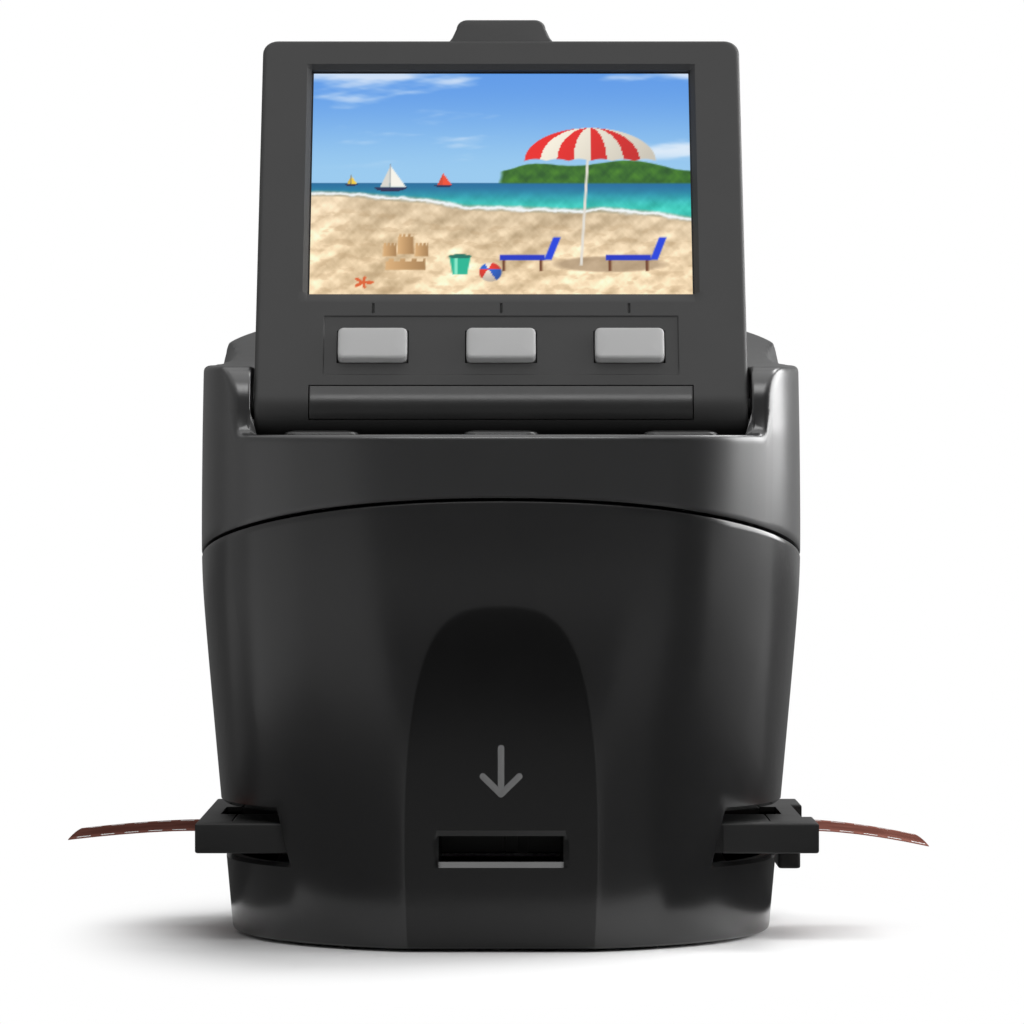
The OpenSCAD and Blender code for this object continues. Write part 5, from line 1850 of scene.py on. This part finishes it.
@dataclass
class FilmAdapter:
    """Sliding adapter: a base with grips and a lug, a windowed lid and a strip of film."""

    left: float = -59.5
    right: float = 59.5
    grip: float = 61.8
    grip_y: float = 20.0
    half_d: float = 40.6
    low: float = 18.1
    high: float = 24.0
    edge: float = 0.5
    lid_half_l: float = 52.6
    lid_half_d: float = 34.0
    lid_low: float = 21.3
    lid_fit: float = 0.2
    lid_edge: float = 0.35
    frame: Point = (18.0, 12.0, 38.0)
    frame_chamfer: float = 0.6
    lug: Point = (57.2, 24.6, 10.5)
    mark: Pair = (0.4, 1.0)
    mark_deep: float = 0.4
    notch: Pair = (3.2, 5.2)
    notch_deep: float = 1.0
    film_half_w: float = 17.5
    film_half_t: float = 0.07
    film_z: float = 21.05
    film_flat: float = 62.0
    film_left: float = -86.0
    film_right: float = 85.0
    film_bow: float = 0.25
    droop: Pair = (1.8, 3.1)
    hole_pitch: float = 4.75
    hole_length: float = 2.8
    hole_width: float = 1.98
    hole_margin: float = 2.0

    def _to_middle(self, x: Array) -> Array:
        """Offset in X from the middle of the nearest film window."""
        pitch = self.frame[2]
        return x - pitch * np.clip(np.round(x / pitch), -1, 1)

    def _windows(self, x: Array, y: Array) -> Array:
        """Distance inside the nearest film window, negative outside them."""
        half_l, half_w, _ = self.frame
        return np.minimum(half_l - np.abs(self._to_middle(x)), half_w - np.abs(y))

    def _frame_lines(self) -> tuple[list[float], list[float]]:
        """Grid lines on the edges of the three windows and of their chamfers."""
        half_l, half_w, pitch = self.frame
        ends = [s * (half_l + e) for s in (-1, 1) for e in (0.0, self.frame_chamfer)]
        return ([k * pitch + end for k in THREE for end in ends],
                [s * (half_w + e) for s in (-1, 1) for e in (0.0, self.frame_chamfer)])

    def _from_edge(self, x: Array, y: Array) -> Array:
        """Distance in from the base's outline, with its grips."""
        side = np.minimum(x - self.left, self.half_d - np.abs(y))
        at_grip = np.minimum(self.grip - x, np.abs(y) - self.grip_y + 60 * (x < self.right))
        return np.minimum(side, np.maximum(self.right - x, at_grip))

    def _lug_outline(self, set_in: float) -> Array:
        """Plan of the lug under the grip, set in."""
        x, y, _ = self.lug
        middle = np.array([x + self.grip, y + self.half_d]) / 2
        return middle + rounded_box(self.grip - x - 2 * set_in, self.half_d - y - 2 * set_in,
                                    0.6, 4)

    def base(self) -> None:
        """Base: a flat tray with a pocket for the lid, three windows, marks and a lug.

        Top and underside are height maps on one grid of lines; the rounding of their
        edges is a quarter circle of the distance from the outline.
        """
        steps = np.array([0.0, 0.03, 0.12, 0.28, self.edge])
        wall = np.array([0.0, 0.05])
        wx, wy = self._frame_lines()
        pocket_x, pocket_y = self.lid_half_l + self.lid_fit, self.lid_half_d + self.lid_fit
        cuts = [k * self.frame[2] + at + s * e for k in THREE for run in (self.mark, self.notch)
                for at, s in zip(run, (-1, 1)) for e in (0.0, 0.03)]
        x = lines(self.left + steps, self.grip - steps, self.right - steps, self.right + steps,
                  wx, wall - pocket_x, pocket_x - wall, spread(-50, 50, step=6), cuts)
        y = lines(-self.half_d + steps, self.half_d - steps, wy, wall - pocket_y,
                  pocket_y - wall, spread(-30, 30, step=6),
                  *[s * self.grip_y + way * steps for s in (-1, 1) for way in (-1, 1)])
        xs, ys = np.meshgrid(x, y)
        sink = edge_sink(self._from_edge(xs, ys), self.edge)
        in_pocket = (np.abs(xs) < pocket_x - 0.03) & (np.abs(ys) < pocket_y - 0.03)
        top = np.where(in_pocket, self.lid_low - 0.05, self.high - sink)
        local = self._to_middle(xs)
        marked, bitten = ((local > a - 0.01) & (local < b + 0.01)
                          for a, b in (self.mark, self.notch))
        ys_top = ys + self.mark_deep * (marked & (ys < 0.01 - self.half_d))
        ys_low = np.where(bitten & (ys < 0.6 - self.half_d),
                          np.maximum(ys, self.notch_deep - self.half_d), ys_top)
        xm, ym = middles(x, y)
        keep = (self._windows(xm, ym) < 0) & ((xm < self.right) | (np.abs(ym) > self.grip_y))
        made = Surface().sandwich(stack(xs, ys_top, top), stack(xs, ys_low, self.low + sink),
                                  keep)
        made.block(self._lug_outline, self.lug[2], self.low + 0.6, flat_at_z, edge=0.05,
                   low_edge=0.5)
        made.piece("adapter_base_moulding", "adapter", ADAPTER, "adapter_black",
                   ("adapter_base",), sharp=32)

    def lid(self) -> None:
        """Lid: a plate with three chamfered windows and rounded edges."""
        steps = np.array([0.0, 0.02, 0.08, 0.2, self.lid_edge])
        wx, wy = self._frame_lines()
        half_l, half_d, slope = self.lid_half_l, self.lid_half_d, self.frame_chamfer
        x = lines(-half_l + steps, half_l - steps, wx, spread(-50, 50, step=6))
        y = lines(-half_d + steps, half_d - steps, wy, spread(-30, 30, step=6))
        xs, ys = np.meshgrid(x, y)
        close = np.minimum(half_l - np.abs(xs), half_d - np.abs(ys))
        sink = edge_sink(close, self.lid_edge)
        sink = sink + slope * np.clip(1 + self._windows(xs, ys) / slope, 0, 1)
        made = Surface().sandwich(stack(xs, ys, self.high - sink), stack(
            xs, ys, self.lid_low + 0.02), self._windows(*middles(x, y)) < 0)
        made.piece("adapter_lid_plate", "adapter", ADAPTER_LID, "adapter_dark",
                   ("adapter_lid",), sharp=32)

    def film(self) -> None:
        """Strip of film with both rows of perforations, drooping at its two free ends.

        Height falls from the flat middle by the droop times the share of the free
        length to the power 1.6, and the strip bows by a hair across its width.
        """
        pitch, length, half_w = self.hole_pitch, self.hole_length, self.film_half_w
        left, right, flat = self.film_left, self.film_right, self.film_flat
        count = math.ceil(right / pitch)
        centres = (np.arange(-count - 1, count + 1) + 0.5) * pitch
        marks = np.concatenate([centres - length / 2, centres + length / 2])
        marks = marks[(marks > left + 0.4) & (marks < right - 0.4)]
        x = lines(marks, spread(left, right, step=2.4))
        outer = half_w - self.hole_margin
        inner = outer - self.hole_width
        y = spread(-half_w, -outer, -inner, inner, outer, half_w, step=3.0)
        xs, ys = np.meshgrid(x, y)
        free = np.clip(np.where(xs < 0, (-xs - flat) / (-left - flat),
                                (xs - flat) / (right - flat)), 0, 1)
        z = self.film_z - np.where(xs < 0, *self.droop) * free**1.6
        z = z + self.film_bow * free * (1 - (ys / half_w) ** 2)
        xm, ym = middles(x, y)
        off = np.abs(xm / pitch - 0.5 - np.round(xm / pitch - 0.5)) * pitch
        hole = (off < length / 2) & (np.abs(ym) > inner) & (np.abs(ym) < outer)
        hole &= (xm > left + 0.8) & (xm < right - 0.8)
        made = Surface().sandwich(stack(xs, ys, z + self.film_half_t),
                                  stack(xs, ys, z - self.film_half_t), ~hole)
        strip = made.piece("film_strip_perforated", "adapter", FILM, "film_brown",
                           ("film_strip",), sharp=60)
        self._whiten_cuts(strip.data, outer)

    @staticmethod
    def _whiten_cuts(mesh: bpy.types.Mesh, outer: float) -> None:
        """Gives the cut walls of the perforations a near-white tone.

        Args:
            mesh: Mesh of the film.
            outer: Half width up to the holes.
        """
        mesh.materials.append(FILM_CUT.material())
        middle, normal = np.empty((2, 3 * len(mesh.polygons)))
        mesh.polygons.foreach_get("center", middle)
        mesh.polygons.foreach_get("normal", normal)
        upright = np.abs(normal[2::3]) < 0.5
        inner = np.abs(middle[1::3] / MM) < outer + 0.1
        mesh.polygons.foreach_set("material_index", (upright & inner).astype(np.int32))

    def build(self) -> None:
        """Builds every piece of the adapter."""
        self.base()
        self.lid()
        self.film()


# ---- Stage ----


@dataclass(frozen=True)
class CardSector:
    """Cards between two angles from the front to the right.

    The wall card stands at the ring, and three lie on the floor between near_radius and the
    ring; each number is the card's level.
    """

    start: float
    end: float
    wall: float
    floor: Point
    near_radius: float = 0.07


@dataclass(frozen=True)
class Lamp:
    """Soft lamp, its place and its aim in metres."""

    name: str
    at: Point
    towards: Point
    size: Pair
    watts: float


@dataclass
class Studio:
    """Pale floor, white surroundings, soft lamps and the camera, in metres."""

    eye: Point = (0.0, -1.090, 0.0905)
    lens: float = 189.84
    shift: Pair = (0.0107, -0.0303)
    clip: Pair = (0.05, 50)
    floor_half: float = 6.0
    floor_tone: float = 0.93
    floor_clear: float = 0.10
    floor_fade: float = 0.165
    floor_squeeze: float = 1.8
    world_level: float = 0.4
    ring_radius: float = 2.0
    ring_height: float = 1.4
    card_z: float = 0.002
    bands: Pair = (0.22, 0.34)
    sectors: tuple[CardSector, ...] = (
        CardSector(-24, 24, 0.15, (0.40, 0.0, 0.30), 0.085),
        CardSector(24, 42, 0.09, (0.15, 0.40, 0.30), 0.08),
        CardSector(42, 62, 0.06, (0.04, 0.10, 0.08)),
        CardSector(62, 120, 0.20, (0.03, 0.38, 0.80)),
        CardSector(120, 180, 0.34, (0.06, 0.12, 0.16)),
        CardSector(180, 235, 0.20, (0.06, 0.10, 0.12)),
        CardSector(235, 262, 0.40, (0.05, 0.18, 0.36)),
        CardSector(262, 300, 0.44, (0.12, 0.68, 0.68)),
        CardSector(300, 336, 0.34, (0.12, 0.58, 0.58), 0.08),
    )
    lamps: tuple[Lamp, ...] = (
        Lamp("top_softbox", (0.0, 0.0, 1.4), (0.0, 0.0, 0.0), (1.3, 1.1), 3.0),
        Lamp("edge_softbox", (0.75, 0.5, 1.25), (0.0, 0.0, 0.05), (0.6, 0.4), 8.0),
        Lamp("right_softbox", (0.93, 0.32, 0.40), (0.0, 0.30, 0.40), (1.1, 0.62), 17.0),
        Lamp("front_softbox", (0.0, -1.2, 1.3), (0.0, 0.0, 0.1), (0.9, 0.4), 5.5),
    )

    def build(self) -> None:
        """Makes the floor, the world, the lamps, the cards and the camera."""
        self._floor()
        self._world()
        for lamp in self.lamps:
            self._lamp(lamp)
        for k, sector in enumerate(self.sectors):
            self._cards(f"sector_{k}", sector)
        self._camera()
        bpy.context.scene.view_settings.view_transform = "Standard"

    @staticmethod
    def _enter(name: str, data: bpy.types.ID) -> bpy.types.Object:
        """Links an object of the stage into the scene and returns it."""
        made = bpy.data.objects.new(name, data)
        bpy.context.scene.collection.objects.link(made)
        return made

    def _sheet(
        self, name: str, corners: list[Point], material: bpy.types.Material
    ) -> bpy.types.Object:
        """Adds one flat face with that material to the stage and returns it.

        Args:
            name: Its name.
            corners: Its four corners.
            material: Its material.

        Returns:
            The object.
        """
        mesh = bpy.data.meshes.new(name)
        mesh.from_pydata(corners, [], [(0, 1, 2, 3)])
        mesh.materials.append(material)
        made = self._enter(name, mesh)
        made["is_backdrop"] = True
        return made

    def _cards(self, name: str, sector: CardSector) -> None:
        """Sets up one sector's cards: three on the floor and a standing one.

        Only gloss sees them, as a black object is lit between grey cards.

        Args:
            name: First part of their names.
            sector: Their angles and levels.
        """
        radii = (sector.near_radius, *self.bands, self.ring_radius, self.ring_radius)
        heights = (*[self.card_z] * 4, self.ring_height)
        corners = [
            [(r * math.sin(a), -r * math.cos(a), z)
             for a in (math.radians(sector.start), math.radians(sector.end))]
            for r, z in zip(radii, heights)
        ]
        for k, level in enumerate((*sector.floor, sector.wall)):
            made, tree, _ = new_material(f"{name}_{k}")
            glow = add(tree, "Emission", {"Color": (level, level, level, 1)})
            fill(tree.nodes["Material Output"], {"Surface": glow})
            card = self._sheet(made.name, [*corners[k], *corners[k + 1][::-1]], made)
            for sight in ("camera", "diffuse", "transmission", "shadow"):
                setattr(card, f"visible_{sight}", False)

    def _floor(self) -> None:
        """Pale floor that keeps the shadow and turns plain white away from the object."""
        made, tree, shader = new_material("floor_pale")
        tone = self.floor_tone
        fill(shader, {"Base Color": (tone, tone, tone, 1), "Roughness": 0.6,
                      "Specular IOR Level": 0.2})
        place = add(tree, "VectorMath", {0: object_place(tree), 1: (self.floor_squeeze, 1, 1)},
                    operation="MULTIPLY")
        far = add(tree, "VectorMath", {0: place}, "Value", operation="LENGTH")
        fade = add(tree, "MapRange", {
            "Value": far, "From Min": self.floor_clear, "From Max": self.floor_fade,
        }, interpolation_type="SMOOTHSTEP")
        white = add(tree, "MixShader", {
            "Fac": maths(tree, "MULTIPLY", fade, self._seen(tree)),
            1: shader.outputs["BSDF"], 2: add(tree, "Emission", {}),
        })
        fill(tree.nodes["Material Output"], {"Surface": white})
        half = self.floor_half
        self._sheet("floor", [(-half, -half, 0), (half, -half, 0), (half, half, 0),
                              (-half, half, 0)], made)

    @staticmethod
    def _seen(tree: Tree) -> Socket:
        """One for rays from the camera, off gloss or through glass, and zero for the rest.

        Args:
            tree: Tree to add to.

        Returns:
            Socket of the sum.
        """
        path = tree.nodes.new("ShaderNodeLightPath")
        total = path.outputs["Is Camera Ray"]
        for name in ("Is Glossy Ray", "Is Transmission Ray"):
            total = maths(tree, "MAXIMUM", total, path.outputs[name])
        return total

    def _world(self) -> None:
        """Even surroundings: white to the eye, and world_level as light on the object."""
        world = bpy.data.worlds.new("surroundings")
        bpy.context.scene.world = world
        world.use_nodes = True
        tree = world.node_tree
        level = add(tree, "MapRange", {
            "Value": self._seen(tree), "To Min": self.world_level, "To Max": 1.0,
        })
        fill(tree.nodes["Background"], {"Color": (1, 1, 1, 1), "Strength": level})

    def _lamp(self, lamp: Lamp) -> None:
        """Adds an area lamp, turned from its place towards its aim.

        Args:
            lamp: What to add.
        """
        data = bpy.data.lights.new(lamp.name, "AREA")
        data.shape = "RECTANGLE"
        data.size, data.size_y = lamp.size
        data.energy = lamp.watts
        made = self._enter(lamp.name, data)
        x, y, z = np.array(lamp.towards) - np.array(lamp.at)
        flat = math.hypot(x, y)
        made.location = lamp.at
        made.rotation_euler = (
            math.atan2(flat, -z), 0.0, math.atan2(-x, y) if flat > 1e-6 else 0.0
        )
        made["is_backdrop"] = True

    def _camera(self) -> None:
        """Level long-lens camera in front, framed by its shift."""
        data = bpy.data.cameras.new("camera")
        data.sensor_width = 36
        data.lens = self.lens
        data.shift_x, data.shift_y = self.shift
        data.clip_start, data.clip_end = self.clip
        eye = self._enter("camera", data)
        eye.location = self.eye
        eye.rotation_euler = (QUARTER_TURN, 0, 0)
        bpy.context.scene.camera = eye


CAD_FINISHES: dict[str, Finish | FilmFinish] = {
    "casing_black": CASING_LOW, "casing_dark": CASING, "foot_rubber": RUBBER,
    "screw_steel": STEEL, "tray_black": TRAY, "arrow_grey": ARROW, "bush_white": NYLON,
    "guide_black": GUIDE, "light_white": LAMP_WHITE, "diffuser_white": DIFFUSER,
    "lens_clear": GLASS, "board_green": BOARD, "chip_black": CHIP, "port_metal": TIN,
    "ribbon_amber": RIBBON, "key_dark": DECK_KEY, "bezel_grey": BEZEL,
    "bezel_black": SCREEN_BACK, "window_clear": WINDOW, "display_lit": BEZEL_DARK,
    "soft_key_grey": SOFT_KEY, "adapter_black": ADAPTER, "adapter_dark": ADAPTER_LID,
    "film_brown": FILM,
}
NODE_FINISHES: dict[str, Finish] = {"hinge_pins": PIN}


def dress_frame(frame: dict) -> None:
    """Gives every construction node the finish of its slot.
    """
    for part in frame["record"]["subparts"]:
        node = frame["nodes"].get(part["node"])
        if node is None:
            continue
        finish = NODE_FINISHES.get(part["node"], CAD_FINISHES[part["material_slot"]])
        node.data.materials.clear()
        node.data.materials.append(finish.material())
        LOG.info("%s wears %s", part["node"], finish.name)


def plain(box: object) -> list:
    """A box as plain lists of numbers."""
    return [[float(v) for v in corner] for corner in box]


def main() -> None:
    """Loads the frame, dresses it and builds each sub-assembly."""
    logging.basicConfig(level=logging.INFO, format="%(name)s: %(message)s")
    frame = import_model()
    cad_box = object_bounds()
    dress_frame(frame)
    casing = Casing()
    casing.lower_shell()
    casing.upper_shell()
    deck = Deck(casing)
    deck.tray()
    deck.caps()
    fittings = Fittings(casing)
    fittings.arrow()
    fittings.bushes()
    Screen().build()
    FilmAdapter().build()
    Studio().build()
    boxes = {"cad": plain(cad_box), "visual": plain(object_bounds())}


if __name__ == "__main__":
    main()
